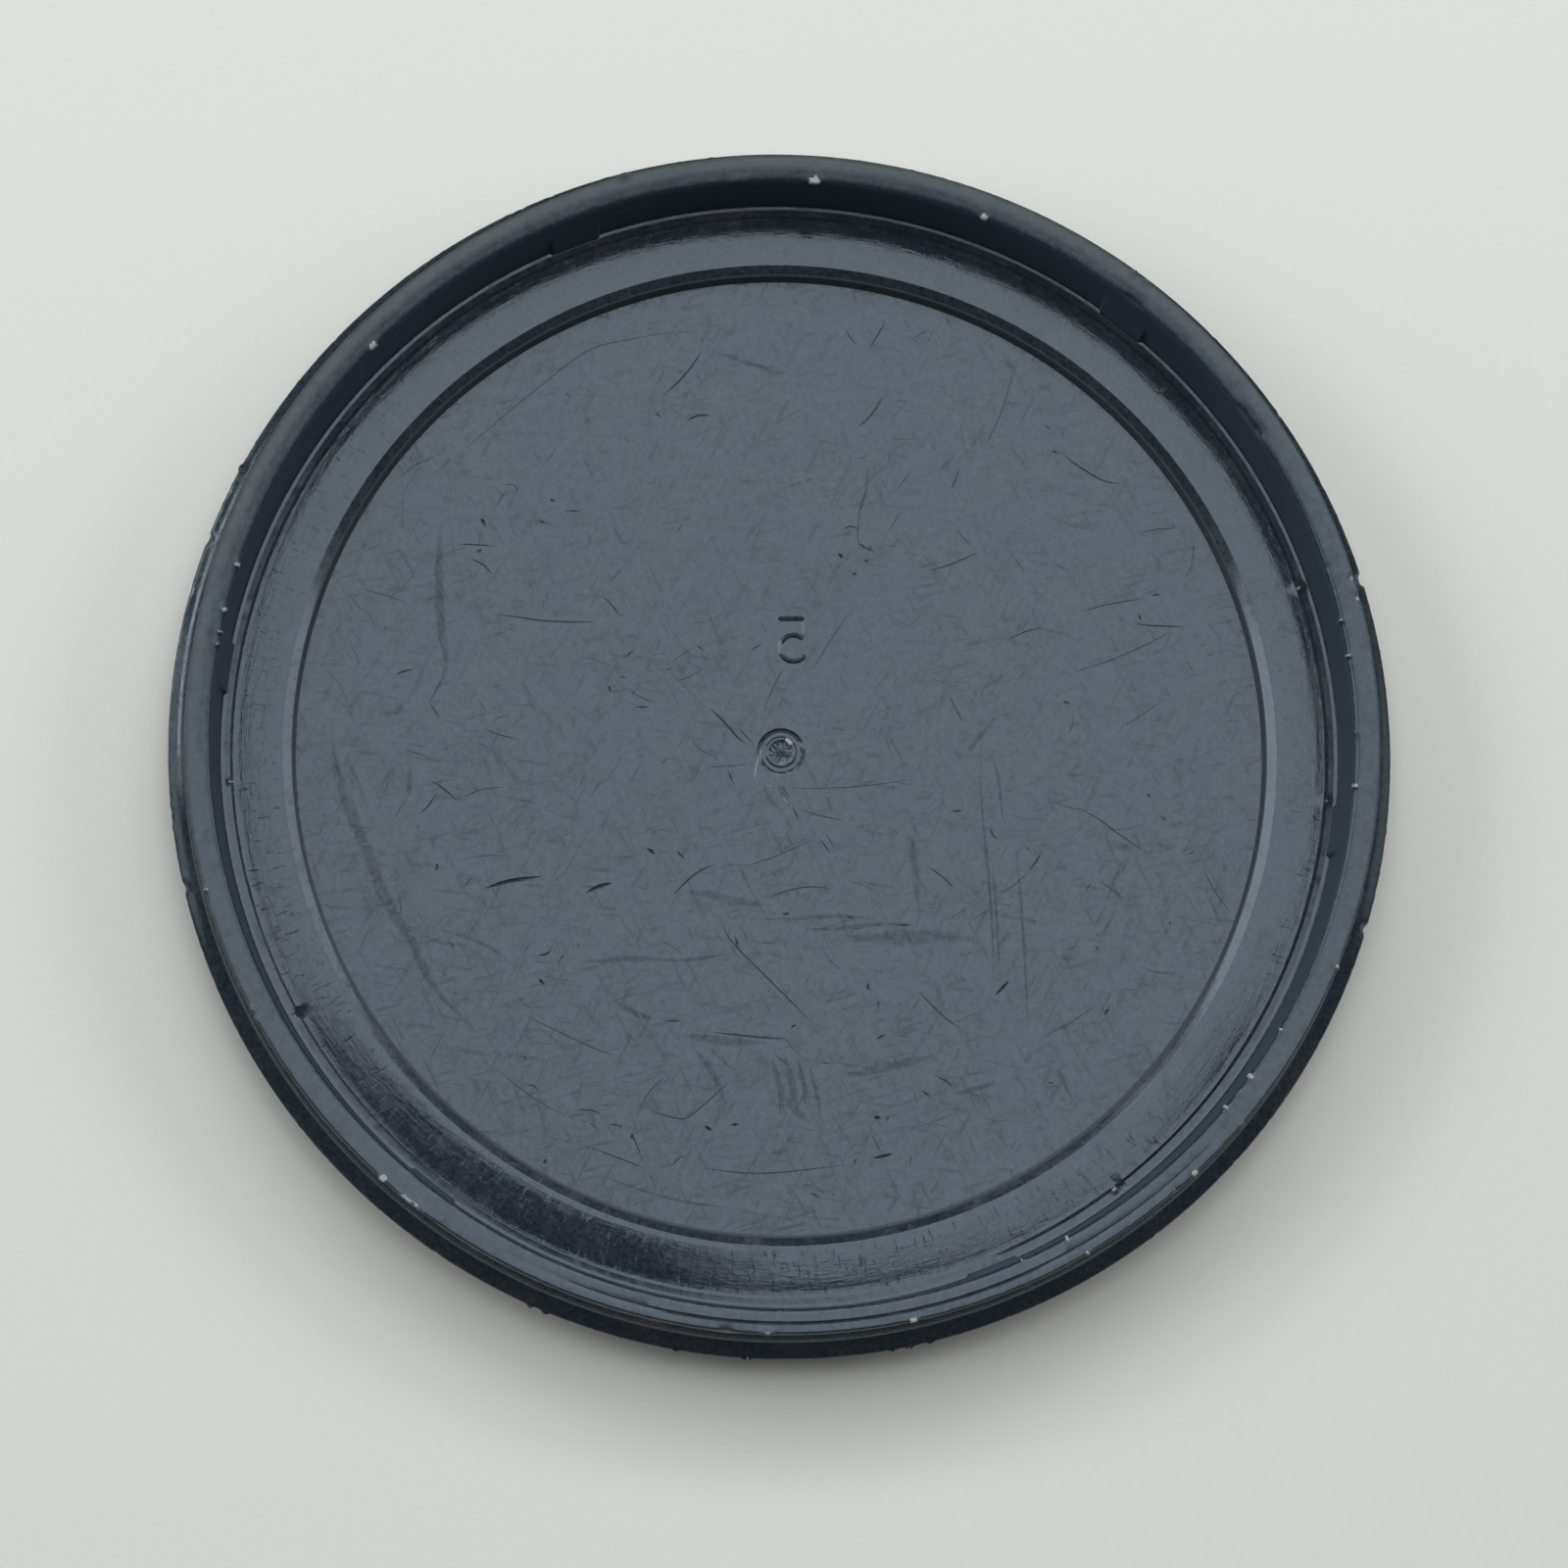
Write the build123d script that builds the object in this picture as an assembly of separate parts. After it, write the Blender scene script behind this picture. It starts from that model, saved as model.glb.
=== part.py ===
from build123d import *
import os
from math import cos, degrees, radians

# Push-on lens cap, one moulding. Millimetres, mouth up along +Z, origin at the centre of the flat front face.

# Mouth that goes over the lens front: a straight bore below a lead-in cone
BORE_RADIUS = 27.5
BORE_DEPTH = 3.85
LEAD_IN_DEPTH = 0.95
LEAD_IN_RUN = 0.3

# Skirt around the mouth: a collar under the rim, and a sloping flange from its foot out to the widest ring
RIM_WALL = 1.25
RIM_INNER_RADIUS = 0.35
RIM_OUTER_RADIUS = 0.12
COLLAR_HEIGHT = 2.68
COLLAR_DRAFT = 0.1
COLLAR_FOOT_RADIUS = 0.3
FLANGE_RUN = 0.85
FLANGE_DROP = 0.62
WIDEST_EDGE_RADIUS = 0.15

# Front wall and its outer edge
FLOOR_THICKNESS = 1.4
FRONT_TAPER = 0.3
FRONT_EDGE_RADIUS = 1.2

# Ledge inside the mouth, which falls from its level crest towards the bore
LEDGE_WIDTH = 3.1
LEDGE_CREST = 0.35
LEDGE_FALL = 0.17

# Step from the ledge to the floor disc, a bevel above a wall
STEP_DEPTH = 0.95
STEP_BEVEL_RUN = 0.45
STEP_BEVEL_DROP = 0.24
STEP_WALL_RUN = 0.15
STEP_TOP_ROUNDING = 0.3
STEP_EDGE_ROUNDING = 0.15

# Raised seat ring at the foot of the bore, with a top that slopes inwards
SEAT_WIDTH = 0.55
SEAT_HEIGHT = 0.17
SEAT_LIP = 0.05

# Grip ribs, wedges that stand out of the bore at its foot and run out to nothing below the lead-in
RIB_COUNT = 6
RIB_WIDTH = 2.6
RIB_PROUD = 0.22
RIB_ROOT = 0.3
RIB_RUN_OUT_GAP = 0.4
RIB_FIRST_ANGLE = 51.5

# Gate mark in the middle of the floor disc: a shallow dish with a stub in it
GATE_DISH_RADIUS = 1.12
GATE_DISH_DEPTH = 0.1
GATE_STUB_RADIUS = 0.7
GATE_STUB_PROUD = 0.06

# Mould-cavity numeral on the floor disc, raised and mirrored as the mould left it
NUMERAL_X = 0.68
NUMERAL_Y = 5.25
NUMERAL_HEIGHT = 2.15
NUMERAL_BAR = 1.2
NUMERAL_BOWL_RADIUS = 0.66
NUMERAL_BOWL_START = 40
NUMERAL_BOWL_SWEEP = 290
NUMERAL_STROKE = 0.2
NUMERAL_PROUD = 0.06

# Radii and heights that follow from the sizes above
MOUTH_RADIUS = BORE_RADIUS + LEAD_IN_RUN
RIM_RADIUS = MOUTH_RADIUS + RIM_WALL
COLLAR_RADIUS = RIM_RADIUS + COLLAR_DRAFT
WIDEST_RADIUS = COLLAR_RADIUS + FLANGE_RUN
FRONT_RADIUS = WIDEST_RADIUS - FRONT_TAPER
SEAT_RADIUS = BORE_RADIUS - SEAT_WIDTH
STEP_TOP_RADIUS = BORE_RADIUS - LEDGE_WIDTH
CREST_RADIUS = STEP_TOP_RADIUS + LEDGE_CREST
STEP_EDGE_RADIUS = STEP_TOP_RADIUS - STEP_BEVEL_RUN
STEP_FOOT_RADIUS = STEP_EDGE_RADIUS - STEP_WALL_RUN
LEDGE_Z = FLOOR_THICKNESS + STEP_DEPTH
STEP_EDGE_Z = LEDGE_Z - STEP_BEVEL_DROP
BORE_FOOT_Z = LEDGE_Z - LEDGE_FALL
RIM_Z = LEDGE_Z + BORE_DEPTH
LEAD_IN_Z = RIM_Z - LEAD_IN_DEPTH
COLLAR_FOOT_Z = RIM_Z - COLLAR_HEIGHT
WIDEST_Z = COLLAR_FOOT_Z - FLANGE_DROP


def shell() -> Part:
    """Turned body of the cap: front wall, flange, collar, rim, bore, seat ring, ledge and step."""
    corners = [
        ((0, 0), 0),
        ((FRONT_RADIUS, 0), FRONT_EDGE_RADIUS),
        ((WIDEST_RADIUS, WIDEST_Z), WIDEST_EDGE_RADIUS),
        ((COLLAR_RADIUS, COLLAR_FOOT_Z), COLLAR_FOOT_RADIUS),
        ((RIM_RADIUS, RIM_Z), RIM_OUTER_RADIUS),
        ((MOUTH_RADIUS, RIM_Z), RIM_INNER_RADIUS),
        ((BORE_RADIUS, LEAD_IN_Z), 0),
        ((BORE_RADIUS, BORE_FOOT_Z + SEAT_HEIGHT), 0),
        ((SEAT_RADIUS, BORE_FOOT_Z + SEAT_LIP), 0),
        ((SEAT_RADIUS, BORE_FOOT_Z), 0),
        ((CREST_RADIUS, LEDGE_Z), 0),
        ((STEP_TOP_RADIUS, LEDGE_Z), STEP_TOP_ROUNDING),
        ((STEP_EDGE_RADIUS, STEP_EDGE_Z), STEP_EDGE_ROUNDING),
        ((STEP_FOOT_RADIUS, FLOOR_THICKNESS), 0),
        ((0, FLOOR_THICKNESS), 0),
    ]
    points = [point for point, _ in corners]
    rounds = [radius for _, radius in corners]
    with BuildPart() as body:
        with BuildSketch(Plane.XZ):
            with BuildLine():
                FilletPolyline(*points, radius=rounds, close=True)
            make_face()
        revolve(axis=Axis.Z)
    return body.part


def rib() -> Part:
    """One grip rib across +X, a wedge with its root inside the skirt."""
    spread = degrees(RIB_WIDTH / BORE_RADIUS)
    top = LEAD_IN_Z - RIB_RUN_OUT_GAP
    with BuildPart() as wedge:
        with BuildSketch(Plane.XZ):
            with BuildLine():
                Polyline(
                    (BORE_RADIUS - RIB_PROUD, BORE_FOOT_Z),
                    (BORE_RADIUS + RIB_ROOT, BORE_FOOT_Z),
                    (BORE_RADIUS + RIB_ROOT, top),
                    (BORE_RADIUS, top),
                    close=True,
                )
            make_face()
        revolve(axis=Axis.Z, revolution_arc=spread)
    return Rot(Z=-spread / 2) * wedge.part


def gate_dish() -> Part:
    """Shallow dish sunk in the floor around the gate."""
    return Pos(Z=FLOOR_THICKNESS) * extrude(Circle(GATE_DISH_RADIUS), -GATE_DISH_DEPTH)


def gate_stub() -> Part:
    """Stub left by the gate, standing in the middle of the dish."""
    return Pos(Z=FLOOR_THICKNESS - GATE_DISH_DEPTH) * extrude(
        Circle(GATE_STUB_RADIUS), GATE_DISH_DEPTH + GATE_STUB_PROUD
    )


def numeral() -> Part:
    """Raised mirrored five: a bar, a stem at its right end and a bowl that opens to the right."""
    stem_x = NUMERAL_BOWL_RADIUS * cos(radians(NUMERAL_BOWL_START))
    bar_y = NUMERAL_HEIGHT - NUMERAL_BOWL_RADIUS
    with BuildPart() as raised:
        with BuildSketch():
            with BuildLine():
                bowl = CenterArc((0, 0), NUMERAL_BOWL_RADIUS, NUMERAL_BOWL_START, NUMERAL_BOWL_SWEEP)
                Polyline((stem_x - NUMERAL_BAR, bar_y), (stem_x, bar_y), bowl @ 0)
            trace(line_width=NUMERAL_STROKE)
        extrude(amount=NUMERAL_PROUD)
    return Pos(NUMERAL_X, NUMERAL_Y, FLOOR_THICKNESS) * raised.part


def lens_cap() -> Part:
    """The whole cap."""
    cap = shell() - gate_dish() + gate_stub() + numeral()
    for index in range(RIB_COUNT):
        cap += Rot(Z=RIB_FIRST_ANGLE + index * 360 / RIB_COUNT) * rib()
    return cap


os.makedirs("parts", exist_ok=True)
export_step(lens_cap(), "parts/lens_cap.step")
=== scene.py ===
import logging
import math
from dataclasses import dataclass, replace
from enum import Enum

import bmesh
import bpy
import numpy as np
from mathutils import Matrix, Vector
from mathutils.geometry import delaunay_2d_cdt


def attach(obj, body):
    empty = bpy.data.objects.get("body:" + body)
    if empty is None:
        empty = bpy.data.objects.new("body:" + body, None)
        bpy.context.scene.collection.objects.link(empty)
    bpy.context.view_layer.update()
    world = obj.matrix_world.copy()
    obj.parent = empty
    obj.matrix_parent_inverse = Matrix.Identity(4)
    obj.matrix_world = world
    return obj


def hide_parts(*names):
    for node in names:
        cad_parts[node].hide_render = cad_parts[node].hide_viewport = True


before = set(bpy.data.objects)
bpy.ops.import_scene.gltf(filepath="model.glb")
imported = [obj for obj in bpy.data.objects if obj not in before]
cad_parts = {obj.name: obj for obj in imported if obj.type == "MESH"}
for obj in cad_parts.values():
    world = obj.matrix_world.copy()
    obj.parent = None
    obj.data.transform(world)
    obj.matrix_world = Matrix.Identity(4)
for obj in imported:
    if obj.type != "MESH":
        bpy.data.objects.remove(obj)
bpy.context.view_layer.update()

LOG = logging.getLogger("lens_cap")
MM = 0.001

Pair = tuple[float, float]
Triple = tuple[float, float, float]
Colour = Triple
Socket = bpy.types.NodeSocket
Feed = Socket | float | int | tuple


@dataclass(frozen=True)
class Pattern:
    """A noise pattern: its features in a unit, seed, finer layers and the band that a ramp spreads."""

    scale: float
    seed: float = 0.0
    detail: float = 2.0
    rough: float = 0.5
    warp: float = 0.0
    band: Pair = (0.0, 1.0)


class NodeSketch:
    """Adds nodes to a shader or geometry tree and links them in few words."""

    # The Mix node's colour sockets go by number, because other sockets have the same names
    MIX_COLOURS = (6, 7)
    MIX_RESULT = 2

    def __init__(self, tree: bpy.types.NodeTree) -> None:
        """Works on one tree."""
        self.tree = tree

    def feed(self, socket: Socket, value: Feed) -> None:
        """Links a socket to another one, or sets its value.

        Args:
            socket: the input to fill.
            value: an output to link, or a plain value.
        """
        if isinstance(value, Socket):
            self.tree.links.new(value, socket)
        else:
            socket.default_value = value

    def add(self, kind: str, feeds: dict[str | int, Feed] | None = None,
            **settings: object) -> bpy.types.Node:
        """Adds one node.

        Args:
            kind: the node's type name.
            feeds: what goes into its inputs, by name or number.
            **settings: properties of the node.

        Returns:
            The new node.
        """
        node = self.tree.nodes.new(kind)
        for name, value in settings.items():
            setattr(node, name, value)
        for key, value in (feeds or {}).items():
            self.feed(node.inputs[key], value)
        return node

    def math(self, operation: str, *operands: Feed) -> Socket:
        """Returns the result of a Math node with these operands."""
        return self.add("ShaderNodeMath", dict(enumerate(operands)), operation=operation).outputs[0]

    def times(self, first: Feed, second: Feed) -> Socket:
        """Returns the product of two numbers."""
        return self.math("MULTIPLY", first, second)

    def vector(self, operation: str, *operands: Feed) -> Socket:
        """Returns the vector that a Vector Math node makes of these operands."""
        feeds = dict(enumerate(operands))
        return self.add("ShaderNodeVectorMath", feeds, operation=operation).outputs["Vector"]

    def measure(self, operation: str, *operands: Feed) -> Socket:
        """Returns the number that a Vector Math node makes of these operands."""
        feeds = dict(enumerate(operands))
        return self.add("ShaderNodeVectorMath", feeds, operation=operation).outputs["Value"]

    def scaled(self, vector: Feed, factor: Feed) -> Socket:
        """Returns a vector times a number."""
        feeds = {0: vector, "Scale": factor}
        return self.add("ShaderNodeVectorMath", feeds, operation="SCALE").outputs["Vector"]

    def attribute(self, name: str) -> Socket:
        """Returns a number that the mesh carries at each of its points."""
        return self.add("ShaderNodeAttribute", attribute_name=name).outputs["Fac"]

    def ramp(self, value: Feed, start: Feed, end: Feed, low: Feed = 0.0, high: Feed = 1.0,
             smooth: bool = False) -> Socket:
        """Adds a clamped Map Range node.

        Args:
            value: the input.
            start: where the input gives low.
            end: where the input gives high.
            low: the result at start.
            high: the result at end.
            smooth: whether the ramp eases in and out.

        Returns:
            The result.
        """
        feeds = {"Value": value, "From Min": start, "From Max": end, "To Min": low, "To Max": high}
        kind = "SMOOTHSTEP" if smooth else "LINEAR"
        return self.add("ShaderNodeMapRange", feeds, interpolation_type=kind, clamp=True).outputs["Result"]

    def inside(self, value: Feed, low: float, high: float, soft: float) -> Socket:
        """Makes a mask that is 1 between two values and fades outside them.

        Args:
            value: the input.
            low: lower end of the band.
            high: upper end of the band.
            soft: how far the mask fades.

        Returns:
            The mask.
        """
        rise = self.ramp(value, low - soft, low, smooth=True)
        fall = self.ramp(value, high, high + soft, 1.0, 0.0, smooth=True)
        return self.times(rise, fall)

    def noise(self, vector: Feed, pattern: Pattern) -> Socket:
        """Adds a four-dimensional Noise Texture, whose fourth axis is the seed.

        Args:
            vector: where it is read.
            pattern: what it looks like.

        Returns:
            The noise, about 0.5 on average.
        """
        feeds = {"Vector": vector, "W": pattern.seed, "Scale": pattern.scale, "Detail": pattern.detail,
                 "Roughness": pattern.rough, "Distortion": pattern.warp}
        return self.add("ShaderNodeTexNoise", feeds, noise_dimensions="4D").outputs["Fac"]

    def spread(self, vector: Feed, pattern: Pattern, low: float = 0.0, high: float = 1.0) -> Socket:
        """Returns a noise whose band is spread from low to high."""
        return self.ramp(self.noise(vector, pattern), *pattern.band, low, high)

    def blend(self, share: Feed, first: Socket | Colour, second: Socket | Colour) -> Socket:
        """Mixes two colours.

        Args:
            share: 0 for the first colour, 1 for the second.
            first: a colour.
            second: a colour.

        Returns:
            The mixed colour.
        """
        node = self.add("ShaderNodeMix", {"Factor": share}, data_type="RGBA")
        for number, colour in zip(self.MIX_COLOURS, (first, second)):
            self.feed(node.inputs[number], colour if isinstance(colour, Socket) else (*colour, 1.0))
        return node.outputs[self.MIX_RESULT]


class PartTree:
    """A Geometry Nodes tree with named inputs, which turns one source object into a plain mesh."""

    def __init__(self, name: str) -> None:
        """Makes the empty tree.

        Args:
            name: the tree's name.
        """
        self.tree = bpy.data.node_groups.new(name, "GeometryNodeTree")
        for way in ("INPUT", "OUTPUT"):
            self.tree.interface.new_socket("Geometry", in_out=way, socket_type="NodeSocketGeometry")
        self.sketch = NodeSketch(self.tree)
        self.entry = self.tree.nodes.new("NodeGroupInput")
        self.exit = self.tree.nodes.new("NodeGroupOutput")
        self.values: dict[str, object] = {}

    def named(self, name: str, kind: str, value: object) -> Socket:
        """Adds a named input.

        Args:
            name: what the input is called.
            kind: its socket type, such as Float, Int, Object or Material.
            value: what the modifier gives it.

        Returns:
            The socket inside the tree.
        """
        socket = self.tree.interface.new_socket(name, in_out="INPUT", socket_type="NodeSocket" + kind)
        self.values[socket.identifier] = value
        return self.entry.outputs[name]

    def close(self, geometry: Socket, material: Socket) -> None:
        """Ends the tree in Realize Instances and Set Material.

        Args:
            geometry: the geometry to hand out.
            material: the material that it gets.
        """
        solid = self.sketch.add("GeometryNodeRealizeInstances", {"Geometry": geometry})
        feeds = {"Geometry": solid.outputs[0], "Material": material}
        dressed = self.sketch.add("GeometryNodeSetMaterial", feeds)
        self.tree.links.new(dressed.outputs[0], self.exit.inputs[0])

    def run(self, source: bpy.types.Object, name: str) -> bpy.types.Object:
        """Runs the tree on an object and keeps the result as a plain mesh.

        Args:
            source: the object that carries the modifier; it is removed afterwards.
            name: the new object's name.

        Returns:
            The new object, at the origin.
        """
        modifier = source.modifiers.new("tree", "NODES")
        modifier.node_group = self.tree
        for identifier, value in self.values.items():
            modifier[identifier] = value
        shown = source.evaluated_get(bpy.context.evaluated_depsgraph_get())
        mesh = bpy.data.meshes.new_from_object(shown)
        mesh.name = name
        source.modifiers.remove(modifier)
        bpy.data.objects.remove(source)
        return placed(name, mesh)


def placed(name: str, data: bpy.types.ID) -> bpy.types.Object:
    """Puts a mesh, curve, light or camera into the scene.

    Args:
        name: the object's name.
        data: what it shows.

    Returns:
        The new object, at the origin.
    """
    thing = bpy.data.objects.new(name, data)
    bpy.context.scene.collection.objects.link(thing)
    return thing


@dataclass(frozen=True)
class Viewpoint:
    """Camera where the photograph was taken from, in millimetres, degrees and photograph pixels."""

    distance: float = 333.0
    focal_pixels: float = 6902.0
    lean_right: float = 2.73
    lean_back: float = 9.67
    slide_right: float = -0.1765
    slide_up: float = 1.523
    aim_height: float = 1.4
    image_pixels: float = 1600.0
    sensor_width: float = 36.0
    nearest: float = 10.0

    def axes(self) -> tuple[Vector, Vector, Vector]:
        """Works out how the camera is turned.

        Returns:
            Its right, up and back directions in the cap's frame.
        """
        right = math.radians(self.lean_right)
        back = math.radians(self.lean_back)
        aside = math.sin(right)
        to_right = Vector((math.cos(right), -math.sin(back) * aside, math.cos(back) * aside))
        to_top = Vector((0.0, math.cos(back), math.sin(back)))
        return to_right, to_top, to_right.cross(to_top)

    def eye(self) -> Vector:
        """Works out where the camera stands.

        Returns:
            Its place in millimetres.
        """
        to_right, to_top, to_back = self.axes()
        aim = Vector((0.0, 0.0, self.aim_height))
        return aim - self.slide_right * to_right - self.slide_up * to_top + self.distance * to_back

    def on_level(self, pixel: Pair, height: float) -> Pair:
        """Finds the point of a level plane that a photograph pixel shows.

        Args:
            pixel: place in the photograph, from its top left corner.
            height: the plane's height in millimetres.

        Returns:
            The point's x and y in millimetres.
        """
        to_right, to_top, to_back = self.axes()
        middle = self.image_pixels / 2
        across = (pixel[0] - middle) / self.focal_pixels
        along = (middle - pixel[1]) / self.focal_pixels
        ray = to_right * across + to_top * along - to_back
        eye = self.eye()
        point = eye + ray * ((height - eye.z) / ray.z)
        return point.x, point.y

    def build(self) -> None:
        """Makes the camera and sets it as the scene's."""
        data = bpy.data.cameras.new("viewpoint")
        data.sensor_width = self.sensor_width
        data.lens = self.focal_pixels / self.image_pixels * self.sensor_width
        data.clip_start = self.nearest * MM
        camera = placed("viewpoint", data)
        turn = Matrix(self.axes()).transposed().to_4x4()
        camera.matrix_world = Matrix.Translation(self.eye() * MM) @ turn
        bpy.context.scene.camera = camera


@dataclass(frozen=True)
class Softbox:
    """A level lamp panel over the cap, by the slants from upright that it covers. Degrees and metres."""

    name: str
    right_from: float
    right_to: float
    back_from: float
    back_to: float
    radiance: float
    height: float = 0.5

    def build(self) -> None:
        """Makes the lamp, which shines down and is not seen by the camera itself."""
        slants = (self.right_from, self.right_to, self.back_from, self.back_to)
        left, right, near, far = (self.height * math.tan(math.radians(slant)) for slant in slants)
        data = bpy.data.lights.new(self.name, "AREA")
        data.shape = "RECTANGLE"
        data.size = right - left
        data.size_y = far - near
        data.energy = self.radiance * math.pi * data.size * data.size_y
        lamp = placed(self.name, data)
        lamp.location = ((left + right) / 2, (near + far) / 2, self.height)
        lamp.visible_camera = False


@dataclass(frozen=True)
class Paper:
    """Pale sheet that the cap lies on. Its reach is in metres, its other lengths in millimetres."""

    reach: float = 3.0
    sink: float = 0.02
    colour: Colour = (0.77, 0.785, 0.745)
    fleck: float = 0.03
    grain: Pattern = Pattern(3.0, detail=3.0)
    roughness: float = 0.9

    def material(self) -> bpy.types.Material:
        """Makes the paper's material: a pale matt sheet with a faint grain.

        Returns:
            The material.
        """
        material = bpy.data.materials.new("paper")
        material.use_nodes = True
        sketch = NodeSketch(material.node_tree)
        shader = material.node_tree.nodes["Principled BSDF"]
        grain = sketch.noise(CapPlaces.on_object(sketch), self.grain)
        dark = tuple(part * (1.0 - self.fleck) for part in self.colour)
        light = tuple(part * (1.0 + self.fleck) for part in self.colour)
        sketch.feed(shader.inputs["Base Color"], sketch.blend(grain, dark, light))
        shader.inputs["Roughness"].default_value = self.roughness
        return material

    def build(self) -> None:
        """Makes the sheet as a level square just under the cap."""
        mesh = bpy.data.meshes.new("paper")
        shape = bmesh.new()
        bmesh.ops.create_grid(shape, x_segments=2, y_segments=2, size=self.reach)
        bmesh.ops.translate(shape, verts=shape.verts, vec=(0.0, 0.0, -self.sink * MM))
        shape.to_mesh(mesh)
        shape.free()
        mesh.materials.append(self.material())
        placed("paper", mesh)


@dataclass(frozen=True)
class Studio:
    """Soft light, most of it from behind: panels overhead, at the back and at both sides, and a dim room."""

    boxes: tuple[Softbox, ...] = (
        Softbox("overhead", -18.0, 25.0, 0.0, 38.0, 2.03),
        Softbox("overhead_near", 0.8, 18.0, -9.0, 0.0, 2.0),
        Softbox("behind", -40.0, 40.0, 39.0, 51.0, 4.0),
        Softbox("left", -60.0, -38.0, -8.0, 46.0, 3.2),
        Softbox("left_low", -73.0, -61.0, -20.0, 50.0, 1.1),
        Softbox("left_window", -80.5, -77.0, 30.0, 76.0, 6.0),
        Softbox("right", 42.0, 60.0, -8.0, 48.0, 2.6),
        Softbox("right_low", 61.0, 80.0, -20.0, 50.0, 0.6),
    )
    room: float = 0.1
    room_colour: Colour = (1.0, 1.0, 1.0)
    paper: Paper = Paper()

    def build(self) -> None:
        """Makes the lamps, the room's light and the paper."""
        for box in self.boxes:
            box.build()
        world = bpy.data.worlds.new("room")
        world.use_nodes = True
        backdrop = world.node_tree.nodes["Background"]
        backdrop.inputs["Color"].default_value = (*self.room_colour, 1.0)
        backdrop.inputs["Strength"].default_value = self.room
        bpy.context.scene.world = world
        bpy.context.scene.view_settings.view_transform = "Standard"
        self.paper.build()


@dataclass(frozen=True)
class Zone:
    """An area of the cap's section, with how far it fades out beside and above itself. Millimetres."""

    radii: Pair
    heights: Pair
    fade_across: float = 0.05
    fade_up: float = 0.05


class CapPlaces:
    """Where a point of the cap lies, as node sockets, in the units of the place that it is given."""

    def __init__(self, sketch: NodeSketch, place: Socket) -> None:
        """Adds the nodes that find the point's radius and height.

        Args:
            sketch: the tree.
            place: the point's coordinates.
        """
        self.sketch = sketch
        self.place = place
        level = sketch.vector("MULTIPLY", place, (1.0, 1.0, 0.0))
        self.outward = sketch.vector("NORMALIZE", level)
        self.radius = sketch.measure("LENGTH", level)
        self.axes = sketch.add("ShaderNodeSeparateXYZ", {0: place}).outputs
        self.height = self.axes["Z"]

    @staticmethod
    def on_object(sketch: NodeSketch) -> Socket:
        """Returns a material's Object coordinates in millimetres."""
        return sketch.scaled(sketch.add("ShaderNodeTexCoord").outputs["Object"], 1.0 / MM)

    def polar(self, run: Pair) -> Socket:
        """Makes coordinates for a pattern that runs round the axis.

        Args:
            run: how many features fit in a radian, and in a unit of the section.

        Returns:
            The coordinates.
        """
        around, across = run
        sum_up = self.sketch.math("ADD", self.radius, self.height)
        rise = self.sketch.add("ShaderNodeCombineXYZ", {2: self.sketch.times(sum_up, across)})
        return self.sketch.vector("ADD", self.sketch.scaled(self.outward, around), rise.outputs[0])

    def within(self, zone: Zone) -> Socket:
        """Returns a mask of one area of the section."""
        across = self.sketch.inside(self.radius, *zone.radii, zone.fade_across)
        return self.sketch.times(across, self.sketch.inside(self.height, *zone.heights, zone.fade_up))

    def facing(self, way: Triple, band: Pair) -> Socket:
        """Returns a mask of the side that lies a given way from the middle, spread over a band of cosines."""
        return self.sketch.ramp(self.sketch.measure("DOT_PRODUCT", self.outward, way), *band)


@dataclass(frozen=True)
class CapMasks:
    """Masks of the cap that several layers of its finish share."""

    rim: Socket
    far_rim: Socket
    ledge: Socket
    wall: Socket
    chip_and_glint: Socket


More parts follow.
